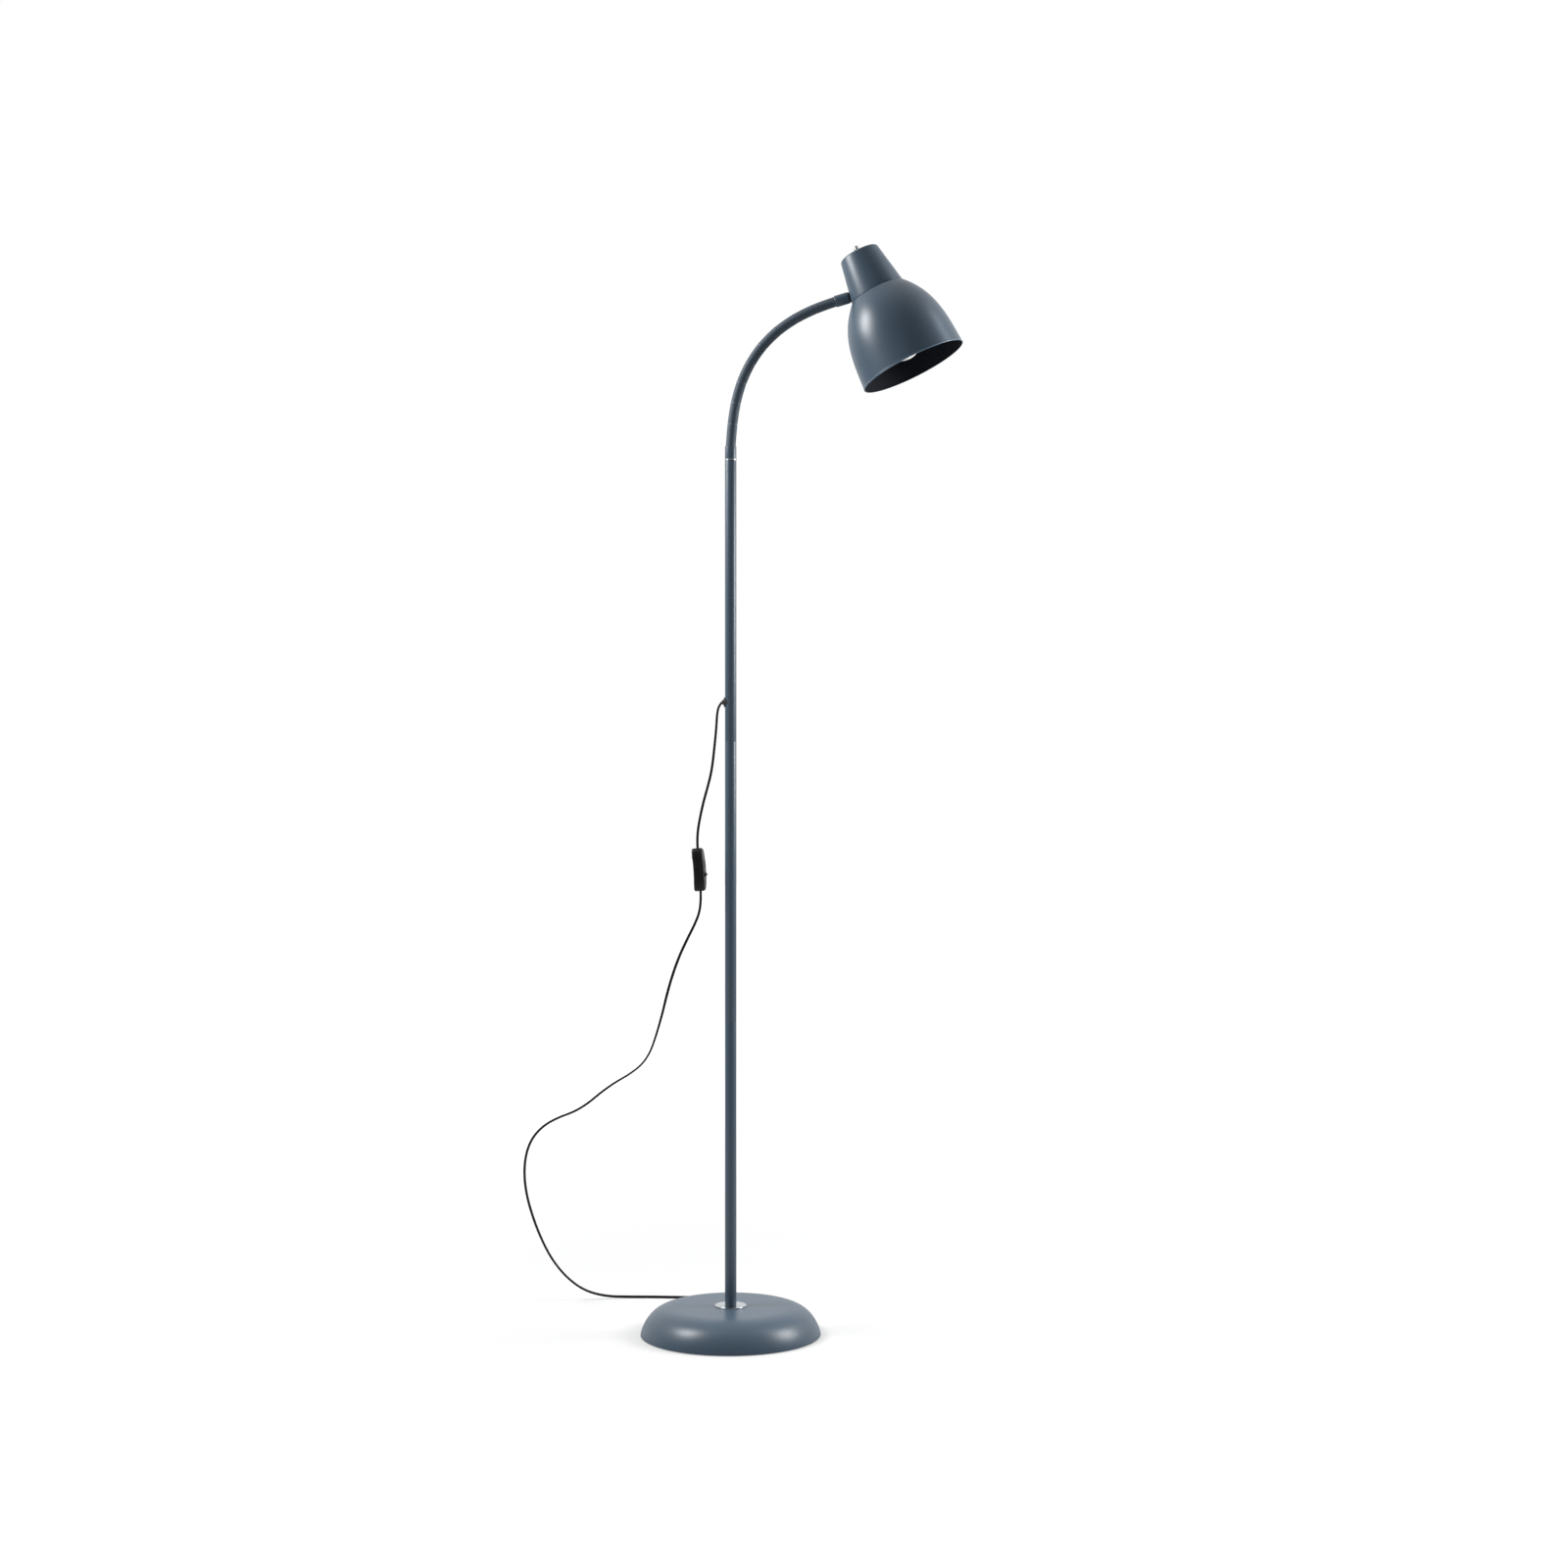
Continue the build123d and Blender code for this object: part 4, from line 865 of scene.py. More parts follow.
# ============================================================================ pole
@dataclass
class Pole:
    """Three screwed tubes, the collar on top of them and the rubber bush of the cord."""

    base: Base
    radius: float = 8
    wall: float = 1.0
    section: float = 391
    edge: float = 0.35
    collar_height: float = 19
    collar_bore: float = 5
    collar_chamfer: float = 0.9
    seam_half: float = 0.45
    seam_proud: float = 0.12
    exit_height: float = 877.5
    bush_radius: float = 7
    bush_thickness: float = 1.8
    snout_length: float = 2.6
    snout_radius: float = 3.4
    cord_hole: float = 1.9
    bush_inside: float = 1.5
    bush_bend: float = 0.8

    @property
    def foot(self) -> float:
        """Height of the lowest tube's lower end."""
        return self.base.height + self.base.ring_height

    @property
    def top(self) -> float:
        """Height of the highest tube's upper end."""
        return self.foot + 3 * self.section

    @property
    def collar_top(self) -> float:
        """Height at which the gooseneck starts."""
        return self.top + self.collar_height

    def tube(self, name: str, low: float) -> Object:
        """Turn one tube, its outer edges rounded so that the joints show as fine lines."""
        bore, high = self.radius - self.wall, low + self.section
        side = [(self.radius, low, self.edge), (self.radius, high, self.edge)]
        return turned(name, [(bore, low, 0), *side, (bore, high, 0)], UPRIGHT)

    def collar(self) -> Object:
        """Turn the painted collar that carries the gooseneck."""
        corners = [
            (self.collar_bore, self.top, 0),
            (self.radius, self.top, 0.3),
            (self.radius, self.collar_top - self.collar_chamfer, 0.35),
            (self.radius - self.collar_chamfer, self.collar_top, 0.2),
            (self.collar_bore, self.collar_top, 0),
        ]
        return turned("pole_collar", corners, UPRIGHT)

    def bright_seam(self) -> Object:
        """Turn the thin bare-metal line between the top tube and the collar."""
        inside, proud = self.radius - self.wall, self.radius + self.seam_proud
        low, high = self.top - self.seam_half, self.top + self.seam_half
        corners = [(inside, low, 0), (proud, low, 0.2), (proud, high, 0.2), (inside, high, 0)]
        return turned("pole_bright_seam", corners, UPRIGHT)

    def bush(self) -> Object:
        """Make the rubber bush, whose flange wraps the tube.

        Point (i, a) lies p_i from the hole's axis and t_i outside the tube's face. That face is
        R - sqrt(R^2 - y^2) nearer to the tube's axis at a distance y beside the hole, which the
        flange follows and the snout doesn't.
        """
        hole, flange, snout = self.cord_hole, self.bush_radius, self.snout_radius
        thick, long = self.bush_thickness, self.bush_thickness + self.snout_length
        outline = rounded(
            [
                (hole, -self.bush_inside, 0),
                (hole, long, 0.3),
                (snout - 0.5, long, 0.5),
                (snout, thick + 0.6, 0.8),
                (snout + 1, thick, 0.9),
                (flange, thick * 0.75, 0.7),
                (flange, 0.02, 0),
                (hole + 0.4, 0.02, 0),
                (hole + 0.4, -self.bush_inside, 0),
            ]
        )
        angle, widest = full_turn(64), self.radius - 0.5
        distance, lift = outline[:, :1], outline[:, 1:]
        beside, above = distance * np.cos(angle), distance * np.sin(angle)
        follow = np.clip((thick + self.bush_bend - lift) / self.bush_bend, 0, 1)
        sag = self.radius - np.sqrt(self.radius**2 - np.clip(beside, -widest, widest) ** 2)
        outwards = self.radius + lift - follow * sag
        grid = UPRIGHT.points(-outwards, beside, self.exit_height + above)
        return surface("cord_bush", grid, close_rows=True)

    def build(self) -> None:
        """Make the pole's pieces."""
        for index, part in enumerate(("lower", "middle", "upper")):
            tube = self.tube(f"pole_tube_{part}", self.foot + index * self.section)
            dressed(tube, LAMP_PAINT, "root", f"pole_{part}")
        dressed(self.collar(), LAMP_PAINT, "root", "neck_collar")
        dressed(self.bright_seam(), TRIM_STEEL, "root", slot="zinc_steel")
        dressed(self.bush(), BLACK_RUBBER, "root", "cord_grommet")


# ============================================================================ gooseneck
@dataclass
class Gooseneck:
    """The ribbed flexible tube and the ferrule at its head end."""

    pole: Pole
    radius: float = 7
    length: float = 288
    ferrule_length: float = 23
    ferrule_radius: float = 8
    start_angle: float = 4.2
    end_angle: float = 74.6
    links: int = 9
    ribs_per_link: int = 14
    rib_points: int = 6
    rib_depth: float = 0.32
    rib_power: float = 0.7
    in_collar: float = 1.0
    knuckle_radius: float = 6.95
    socket_radius: float = 7.2
    joint_clear: float = 0.3
    washer: float = 2.0
    ferrule_chamfer: float = 0.9
    bore: float = 4
    around: int = 48

    @property
    def pitch(self) -> float:
        """Distance between two hinge points."""
        return (self.length - self.ferrule_length) / self.links

    def lean(self, along: Any) -> Any:
        """Return the angle from vertical, in degrees, which eases in and out as 3u^2 - 2u^3."""
        return self.start_angle + (self.end_angle - self.start_angle) * eased(along / self.length)

    @property
    def rib(self) -> float:
        """Length of one rib."""
        return self.pitch / self.ribs_per_link

    def direction(self, along: Array) -> Array:
        """Return the tube's direction at distances from the collar."""
        lean = np.radians(self.lean(along))
        return np.stack([np.sin(lean), np.zeros_like(lean), np.cos(lean)], axis=1)

    def hinge_points(self) -> Array:
        """Return where the links' straight axes meet, from the collar to the ferrule."""
        steps = self.pitch * self.direction((np.arange(self.links) + 0.5) * self.pitch)
        start = np.array([[0, 0, self.pole.collar_top]])
        return start + np.concatenate([np.zeros((1, 3)), np.cumsum(steps, axis=0)])

    def centreline(self, along: Array) -> Array:
        """Return places on the tube's smooth axis.

        A place is the integral of the direction, added up by trapezoids on a fine ruler.

        Args:
            along: Distances from the collar.
        """
        ruler = np.linspace(-10, self.length, 6001)
        speed = self.direction(ruler)
        travel = np.concatenate([np.zeros((1, 3)), np.cumsum((speed[1:] + speed[:-1]) / 2, axis=0)])
        travel = travel * (ruler[1] - ruler[0])
        places = [np.interp(along, ruler, travel[:, axis]) for axis in range(3)]
        start = [np.interp(0, ruler, travel[:, axis]) for axis in range(3)]
        return np.stack(places, axis=1) + (np.array([0, 0, self.pole.collar_top]) - start)

    def sleeve(self, name: str, low: float, high: float) -> Object:
        """Sweep a stretch of the ribbed tube, closed at both ends.

        Point (s, a) lies r(s) from the axis in the direction cos(a) across + sin(a) side. With t
        the place within a rib, from 0 to 1, the radius is R - d (1 - sin(pi t)^0.7), so the ribs
        are round and the grooves sharp.

        Args:
            name: The piece's name.
            low: Where it starts, from the collar.
            high: Where it ends.
        """
        along = np.linspace(low, high, round((high - low) / self.rib * self.rib_points) + 1)
        groove = 1 - np.sin(pi * ((along / self.rib) % 1.0)) ** self.rib_power
        radius = np.pad(self.radius - self.rib_depth * groove, 1)
        groove = np.pad(groove, 1)
        along = np.concatenate([along[:1], along, along[-1:]])
        side = np.array([0.0, 1.0, 0.0])
        across = np.cross(side, self.direction(along))
        angle = full_turn(self.around)[None, :, None]
        ring = np.cos(angle) * across[:, None] + np.sin(angle) * side
        grid = self.centreline(along)[:, None] + radius[:, None, None] * ring
        # The groove depth is kept for the painted shade in the grooves.
        kept = {"groove": np.broadcast_to(groove[:, None], grid.shape[:2])}
        return surface(name, grid, values=kept)

    def knuckle(self, name: str, centre: Array) -> Object:
        """Make the ball at a joint, whose band stands in for the first rib of the next stretch.

        Args:
            name: The piece's name.
            centre: The hinge point.
        """
        turn = np.linspace(0, pi, 25)
        profile = self.knuckle_radius * np.stack([np.sin(turn), np.cos(turn)], axis=1)
        return lathe(name, profile, Axes.leaning(centre, 0), self.around, closed=False)

    def sleeves(self) -> None:
        """Make a stretch of tube on each link, and a ball at its upper hinge point.

        A stretch starts one rib above its joint, which leaves the bend room on its inner side.
        """
        hinges = self.hinge_points()
        for link in range(1, self.links + 1):
            low = -self.in_collar if link == 1 else (link - 1) * self.pitch + self.rib
            tube = self.sleeve(f"neck_sleeve_{link:02d}", low, link * self.pitch)
            dressed(tube, NECK_SLEEVE, f"link_{link:02d}", f"neck_link_{link:02d}")
            ball = self.knuckle(f"neck_knuckle_{link:02d}", hinges[link])
            dressed(ball, NECK_SLEEVE, f"link_{link:02d}")

    def ferrule_axes(self) -> Axes:
        """Return axes at the last hinge point, along the ferrule."""
        return Axes.leaning(self.hinge_points()[-1], self.end_angle)

    def ferrule(self) -> Object:
        """Turn the ferrule, whose foot is a socket over the last ball."""
        top = self.ferrule_length - self.washer
        foot = sqrt(self.socket_radius**2 - self.radius**2)
        inside = np.linspace(self.bore, self.radius, 9)
        corners = [
            *((reach, sqrt(self.socket_radius**2 - reach**2), 0) for reach in inside),
            (self.ferrule_radius - self.ferrule_chamfer / 2, foot, 0.2),
            (self.ferrule_radius, foot + self.ferrule_chamfer, 0.35),
            (self.ferrule_radius, top, 0.3),
            (self.bore, top, 0),
        ]
        return turned("neck_end_ferrule", corners, self.ferrule_axes())

    def build(self) -> None:
        """Make the neck's pieces."""
        self.sleeves()
        dressed(self.ferrule(), LAMP_PAINT, "head", "neck_ferrule")


# ============================================================================ head
@dataclass
class Head:
    """The cup that hides the lampholder, the bell under it, the top screw and the bulb."""

    neck: Gooseneck
    cup_mouth: float = 38.6
    cup_top: float = 27.7
    cup_height: float = 60
    cup_wall: float = 1.2
    cup_edge: float = 4
    neck_above_seam: float = 11
    bell_radius: float = 75
    bell_height: float = 115
    bell_wall: float = 1.0
    bell_flange: float = 1.2
    bell_flare: float = 0.18
    bell_round: float = 3.5
    bell_points: int = 72
    bell_crowding: float = 1.3
    rim_roll: float = 0.3
    holder_radius: float = 20
    screw_bore: float = 2.55
    knob_radius: float = 3.8
    knob_height: float = 11.5
    knob_dome: float = 1.6
    knob_waist: float = 0.5
    screw_radius: float = 2.5
    screw_reach: float = 9
    bulb_radius: float = 30
    bulb_length: float = 112
    bulb_tip: float = 9.6
    bulb_shoulder: float = 35
    bulb_neck: float = 12.4
    cap_foot: float = -16.4
    stem_top: float = -10.4
    ring_outer: float = 26
    ring_height: float = 7
    ring_ribs: int = 24

    @property
    def taper(self) -> float:
        """How much the cup narrows for each millimetre of its height."""
        return (self.cup_mouth - self.cup_top) / self.cup_height

    def axes(self) -> Axes:
        """Return axes at the seam between cup and bell, up along the head.

        The neck meets the cup's sloping wall square on, so that slope and the neck's last angle
        set how far the head tips.
        """
        tilt = 90 - self.neck.end_angle + degrees(atan(self.taper))
        wall_radius = self.cup_mouth - self.taper * self.neck_above_seam
        neck_end = self.neck.ferrule_axes().point(0, 0, self.neck.ferrule_length)
        leaning = Axes.leaning(neck_end, -tilt)
        return Axes.leaning(leaning.point(wall_radius, 0, -self.neck_above_seam), -tilt)

    def cup(self) -> Object:
        """Turn the cup from an outer and an inner cone."""
        inset, inside = self.cup_wall * hypot(1, self.taper), self.cup_height - self.cup_wall
        mouth = self.cup_mouth - inset
        corners = [
            (mouth, 0.02, 0.2),
            (self.cup_mouth, 0.02, 0.8),
            (self.cup_top, self.cup_height, self.cup_edge),
            (self.screw_bore, self.cup_height, 0.1),
            (self.screw_bore, inside, 0),
            (mouth - self.taper * inside, inside, self.cup_edge - self.cup_wall),
        ]
        return turned("head_cup", corners, self.axes(), 160, 8)

    def bell_side(self, start: float, inset: float) -> Array:
        """Return the bell's side from a depth under the seam down to the rim.

        With u the share of the depth, the radius grows by f u + (1 - f)(1 - (1 - u)^p), a cone
        and a part that rounds over.

        Args:
            start: The depth to start from.
            inset: How far inside the outer face it runs.
        """
        share = np.linspace(0, 1, self.bell_points) ** self.bell_crowding
        depth = start + (self.bell_height - start) * share
        part = depth / self.bell_height
        growth = 1 - (1 - part) ** self.bell_round
        growth = self.bell_flare * part + (1 - self.bell_flare) * growth
        radius = self.cup_mouth + (self.bell_radius - self.cup_mouth) * growth - inset
        return np.stack([radius, -depth], axis=1)

    def bell(self) -> Object:
        """Turn the bell: its outer side, a rolled rim, its inner side and the flange.

        Painted highlight where the mesh keeps "painted_rim_highlight", on the outer half of the
        rim; painted shade where it keeps "inside", from the rim's inner half on.
        """
        outside = self.bell_side(0.25, 0)[:-1]
        inside = self.bell_side(self.bell_flange, self.bell_wall)[:-1]
        middle, reach = self.bell_radius - self.bell_wall / 2, self.bell_wall / 2 + self.rim_roll
        roll = np.linspace(0, pi, 11)
        rim_height = reach - self.bell_height
        rim = np.stack([middle + reach * np.cos(roll), rim_height - reach * np.sin(roll)], axis=1)
        bore = self.holder_radius + self.neck.joint_clear
        flange = [(bore, -self.bell_flange), (bore, 0), (self.cup_mouth - 0.5, 0)]
        profile = np.concatenate([outside, rim, inside[::-1], flange])
        # Painted shade over the inner face, from the rim's inner half to the flange.
        inner = np.zeros(len(profile))
        inner[len(outside) + 8 : -1] = 1
        # Painted highlight along the outer half of the rolled rim.
        painted_rim_highlight = np.zeros(len(profile))
        painted_rim_highlight[len(outside) : len(outside) + 6] = 1
        kept = {"inside": inner, "painted_rim_highlight": painted_rim_highlight}
        return lathe("bell_shade", profile, self.axes(), 192, values=kept)

    def top_screw(self) -> Object:
        """Turn the screw head on the cup, with a domed end and a waist under it."""
        radius, low = self.knob_radius, self.cup_height
        waist, dome = radius - self.knob_waist, self.knob_dome
        high, foot = low + self.knob_height, low - self.screw_reach
        shank = [(0, foot), (self.screw_radius, foot), (self.screw_radius, low)]
        skirt = [(radius - 0.3, low + 0.02), (radius, low + 0.5), (radius, low + 5)]
        groove = [(waist, low + 5.4), (waist, low + 6.4), (radius, low + 6.8)]
        turn = np.linspace(0, pi / 2, 8)
        cap = np.stack([radius * np.cos(turn), high - dome + dome * np.sin(turn)], axis=1)
        cap[-1, 0] = 0
        profile = np.concatenate([shank + skirt + groove, cap])
        return lathe("cup_top_screw", profile, self.axes(), 48, closed=False)

    def bulb(self) -> Object:
        """Turn the bulb: a ball, a shoulder that eases into the neck, and the neck's stem.

        The shoulder is a cubic Hermite curve from the ball's tangent to straight up.
        """
        centre = self.bulb_tip - self.bulb_length + self.bulb_radius
        shoulder = radians(self.bulb_shoulder)
        sweep = np.linspace(-pi / 2, shoulder, 40)
        ball = np.stack([np.cos(sweep), np.sin(sweep)], axis=1) * self.bulb_radius + (0, centre)
        ball[0, 0] = 0
        end = np.array([self.bulb_neck, self.cap_foot])
        reach = np.linalg.norm(end - ball[-1])
        leave = np.array([-sin(shoulder), cos(shoulder)]) * reach
        arrive = np.array([0, reach])
        share = np.linspace(0, 1, 20)[1:, None]
        neck = (
            (2 * share**3 - 3 * share**2 + 1) * ball[-1]
            + (share**3 - 2 * share**2 + share) * leave
            + (3 * share**2 - 2 * share**3) * end
            + (share**3 - share**2) * arrive
        )
        stem = [(self.bulb_neck, self.stem_top), (0, self.stem_top)]
        profile = np.concatenate([ball, neck, stem])
        return lathe("bulb_globe", profile, self.axes(), 96, closed=False)

    def holder_ring(self) -> Object:
        """Make the threaded ring that clamps the bell, with finger ribs round it.

        Point (i, a) lies r_i + w_i |cos(n a / 2)|^4 from the axis, where w_i is 1 on the outer
        face and 0 in the bore, and n is the number of ribs.
        """
        low, high = -self.bell_flange - self.ring_height, -self.bell_flange - 0.02
        bore, outer = self.holder_radius + 0.05, self.ring_outer - 1
        corners = [(bore, low, 0.3), (outer, low, 0.8), (outer, high, 0.2), (bore, high, 0)]
        profile, angle = rounded(corners, 6), full_turn(self.ring_ribs * 10)
        ribbed = np.clip((profile[:, :1] - bore) / (outer - bore), 0, 1) ** 6
        radius = profile[:, :1] + ribbed * np.abs(np.cos(angle * self.ring_ribs / 2)) ** 4
        grid = self.axes().points(radius * np.cos(angle), radius * np.sin(angle), profile[:, 1:])
        return surface("shade_clamp_ring", grid, close_rows=True)

    def build(self) -> None:
        """Make the head's pieces."""
        dressed(self.cup(), LAMP_PAINT, "head", "cup")
        dressed(self.bell(), SHADE_PAINT, "head", "shade", slot="lamp_paint")
        dressed(self.top_screw(), KNOB_STEEL, "head", "top_knob")
        dressed(self.bulb(), OPAL_GLASS, "head", "bulb_glass")
        dressed(self.holder_ring(), HOLDER_PLASTIC, "head", "shade_ring")


# ============================================================================ switch on the cord
@dataclass
class CordSwitch:
    """The in-line rocker switch: two shells and a dished rocker."""

    middle: Place = (-44.4, 0, 645)
    lean: float = -4
    length: float = 60
    width: float = 26
    back_depth: float = 7.5
    front_depth: float = 7.5
    squareness: float = 3.6
    edge: float = 2.6
    hollow: float = 1.1
    swell: float = 0.6
    bow: float = 0.8
    seam: float = 0.18
    seam_inset: float = 0.35
    opening_length: float = 22.6
    opening_width: float = 12.8
    rocker_length: float = 19
    rocker_width: float = 12
    rocker_tilt: float = 8
    rocker_dish: float = 1.9
    rocker_proud: float = 2.5
    rocker_edge: float = 0.5
    rocker_middle: float = 1.0
    pin_depth: float = 3.2

    @property
    def standing(self) -> Axes:
        """Axes at the switch's middle, out towards the rocker and up along the cord."""
        return Axes.leaning(self.middle, self.lean)

    def axes(self, outwards: int) -> Axes:
        """Return axes on the joint of the two shells, up towards the rocker or away from it."""
        return Axes.along(self.middle, self.standing.out * outwards, self.standing.up)

    def plan(self, inset: float, height: float) -> tuple[float, float, float, float]:
        """Return a station of the outline moved inwards by inset."""
        return (self.length / 2 - inset, self.width / 2 - inset, self.squareness, height)

    def edge_stations(self, depth: float) -> list[tuple[float, float, float, float]]:
        """Return the stations of a shell's side and its rounded edge, from the joint outwards."""
        turn = np.linspace(0, pi / 2, 9)
        side = [self.plan(self.seam_inset, height) for height in (0.02, self.seam)]
        insets = self.edge * (1 - np.cos(turn))
        heights = depth - self.edge + self.edge * np.sin(turn)
        edge = [self.plan(inset, height) for inset, height in zip(insets, heights)]
        return side + [self.plan(0, self.seam + 0.25)] + edge

    def curved(self, depth: float, lift: float, bow: float) -> Callable[[Array, Array], Array]:
        """Return how the points of a shell move outwards from the joint.

        At x along the switch and height h the move is l (1 - (x / half length)^2) h / depth, which
        lifts the face, and b (x / half length)^2, which bows both ends.

        Args:
            depth: The shell's depth.
            lift: How far the middle of its face moves.
            bow: How far its ends move.
        """

        def shift(along: Array, height: Array) -> Array:
            """Return the new height."""
            from_middle = (2 * along / self.length) ** 2
            rise = lift * (1 - from_middle) * np.clip(height / depth, 0, 1)
            return height + rise + bow * from_middle

        return shift

    def back(self) -> Object:
        """Loft the plain shell, whose broad face is hollowed along its length."""
        rim = self.edge_stations(self.back_depth)
        face = [self.plan(self.edge + share * 8, self.back_depth) for share in (0.3, 0.7, 1.1)]
        poles = [(6, 1.5, 2.2, self.back_depth), (0, 0, 2, self.back_depth)]
        stations = np.array([(0, 0, 2, 0.02)] + rim + face + poles)
        hollowed = self.curved(self.back_depth, -self.hollow, self.bow)
        return loft("switch_shell_back", stations, self.axes(-1), 96, shift=hollowed)

    def front(self) -> Object:
        """Loft the shell with the rocker's opening as a closed ring."""
        rim = self.edge_stations(self.front_depth)
        half_length, half_width, lip = self.opening_length / 2, self.opening_width / 2, 0.5
        top = self.front_depth
        opening = [
            (half_length + 3, half_width + 2.2, 4, top + 0.35),
            (half_length + 1.2, half_width + 1.2, 5, top + 0.5),
            (half_length + lip, half_width + lip, 6, top + 0.4),
            (half_length, half_width, 7, top - 0.1),
            (half_length, half_width, 7, 1.0),
            (half_length, half_width, 7, 0.02),
        ]
        swollen = self.curved(self.front_depth, self.swell, -self.bow)
        stations = np.array(rim + opening)
        return loft("switch_shell_front", stations, self.axes(1), 96, closed=True, shift=swollen)

    def rocker_axes(self) -> Axes:
        """Return axes on the rocker's pin, out along the rocker and up out of the switch."""
        standing = self.standing
        pin = standing.point(self.front_depth - self.pin_depth, 0, 0)
        tilt = radians(self.rocker_tilt)
        along = standing.up * cos(tilt) - standing.out * sin(tilt)
        return Axes.along(pin, standing.out * cos(tilt) + standing.up * sin(tilt), along)

    def rocker(self) -> Object:
        """Make the rocker from one outline carried across its width.

        The top of the outline is the parabola h = top - dish (1 - (x / half length)^2). Ring i is
        the outline shrunk towards its middle by k_i, which rounds the two ends of the rocker.
        """
        half, top = self.rocker_length / 2, self.pin_depth + self.rocker_proud
        edge, width = self.rocker_edge, self.rocker_width / 2
        along = np.linspace(-half + edge, half - edge, 19)
        dished = top - self.rocker_dish * (1 - (along / half) ** 2)
        lower = np.array([(half, top - edge), (half - 0.2, 0), (half - 3, -2.5)])
        outline = np.concatenate([np.stack([along, dished], axis=1), lower, lower[::-1] * (-1, 1)])
        turn = np.linspace(0, pi / 2, 5)
        shrink = 1 - edge * (1 - np.sin(turn)) / (half / 2)
        shrink = np.concatenate([[0], shrink, shrink[::-1], [0]])
        across = width - edge + edge * np.cos(turn)
        across = np.concatenate([[width], across, -across[::-1], [-width]])
        centre = np.array([0, self.rocker_middle])
        rings = centre + (outline - centre)[None] * shrink[:, None, None]
        grid = self.rocker_axes().points(rings[..., 0], across[:, None], rings[..., 1])
        return surface("switch_rocker_key", grid)

    def build(self) -> list[Object]:
        """Make the switch's pieces and return those that sit on the cord."""
        back = dressed(self.back(), BLACK_PLASTIC, "root", "switch_back")
        front = dressed(self.front(), BLACK_PLASTIC, "root", "switch_front")
        rocker = dressed(self.rocker(), BLACK_PLASTIC, "rocker", "switch_rocker")
        inner = ("switch_pin", "switch_contacts", "switch_screws", "switch_clamps")
        return [back, front, rocker] + [frame["nodes"][name] for name in inner]


# ============================================================================ plug
@dataclass
class Plug:
    """The flat two-pin plug with its ribbed strain relief."""

    place: Place = (-8, 143, 6.85)
    turn: float = 180
    relief: float = 20
    body: float = 35
    width: float = 26
    thickness: float = 13.7
    shoulder: float = 10
    relief_tip: float = 2.9
    relief_foot: float = 4.1
    rib_pitch: float = 2.6
    rib_depth: float = 0.4
    edge: float = 2.2
    pinch: float = 1.2
    pin_spacing: float = 18.6
    sleeve_radius: float = 2
    sleeve_length: float = 10

    def axes(self, aside: float = 0) -> Axes:
        """Return axes where the cord enters, up towards the pins, moved sideways."""
        direction = np.array([cos(radians(self.turn)), sin(radians(self.turn)), 0])
        side = np.cross((0, 0, 1), direction)
        return Axes.along(np.asarray(self.place, float) + side * aside, direction, side)

    def pin_sleeve(self, name: str, side: int) -> Object:
        """Turn the moulded sleeve round one pin's root, with a fillet where it leaves the body.

        Args:
            name: The piece's name.
            side: -1 or 1.
        """
        face, radius = self.relief + self.body, self.sleeve_radius
        end = face + self.sleeve_length
        wall = [(0, face - 1, 0), (radius, face - 1, 0), (radius, end - 0.02, 0.25)]
        profile = rounded([*wall, (1.55, end - 0.02, 0), (0, end - 0.1, 0)])
        return lathe(name, profile, self.axes(side * self.pin_spacing / 2), 40, closed=False)

    def build(self) -> list[Object]:
        """Loft the plug's body and return the pieces that sit on the cord.

        Along the plug the outline grows from the strain relief's circle to a flat rounded
        oblong. The relief's radius is cut by d sin(pi t)^8 between its ribs, and the body's sides
        are pinched by p sin(pi t)^2.
        """
        end = self.relief + self.body
        relief, body = np.linspace(0, self.relief, 60), np.linspace(self.relief, end, 60)
        along = np.concatenate([[0], relief, body, [end]])
        relief_share = np.clip(along / self.relief, 0, 1)
        groove = self.rib_depth * np.abs(np.sin(pi * along / self.rib_pitch)) ** 8
        groove = groove * (relief_share < 1)
        cone = self.relief_tip + (self.relief_foot - self.relief_tip) * relief_share - groove
        swell = eased(np.clip((along - self.relief) / self.shoulder, 0, 1))
        grip = np.clip((along - self.relief) / self.body, 0, 1)
        from_end = np.clip((along - end + self.edge) / self.edge, 0, 1)
        edge = self.edge * (1 - np.sqrt(1 - from_end**2))
        pinched = self.width / 2 - self.pinch * np.sin(pi * grip) ** 2
        half_width = cone + (pinched - cone) * swell - edge
        half_depth = cone + (self.thickness / 2 - cone) * swell - edge
        squareness = 2 + 2.2 * swell
        stations = np.stack([half_width, half_depth, squareness, along], axis=1)
        stations[[0, -1], :2] = 0
        moulding = loft("plug_moulding", stations, self.axes(), 80)
        dressed(moulding, BLACK_PLASTIC, "root", "plug_body")
        sleeves = [self.pin_sleeve("plug_sleeve_a", 1), self.pin_sleeve("plug_sleeve_b", -1)]
        for sleeve in sleeves:
            dressed(sleeve, BLACK_PLASTIC, "root")
        return [moulding, frame["nodes"]["plug_pins"]] + sleeves


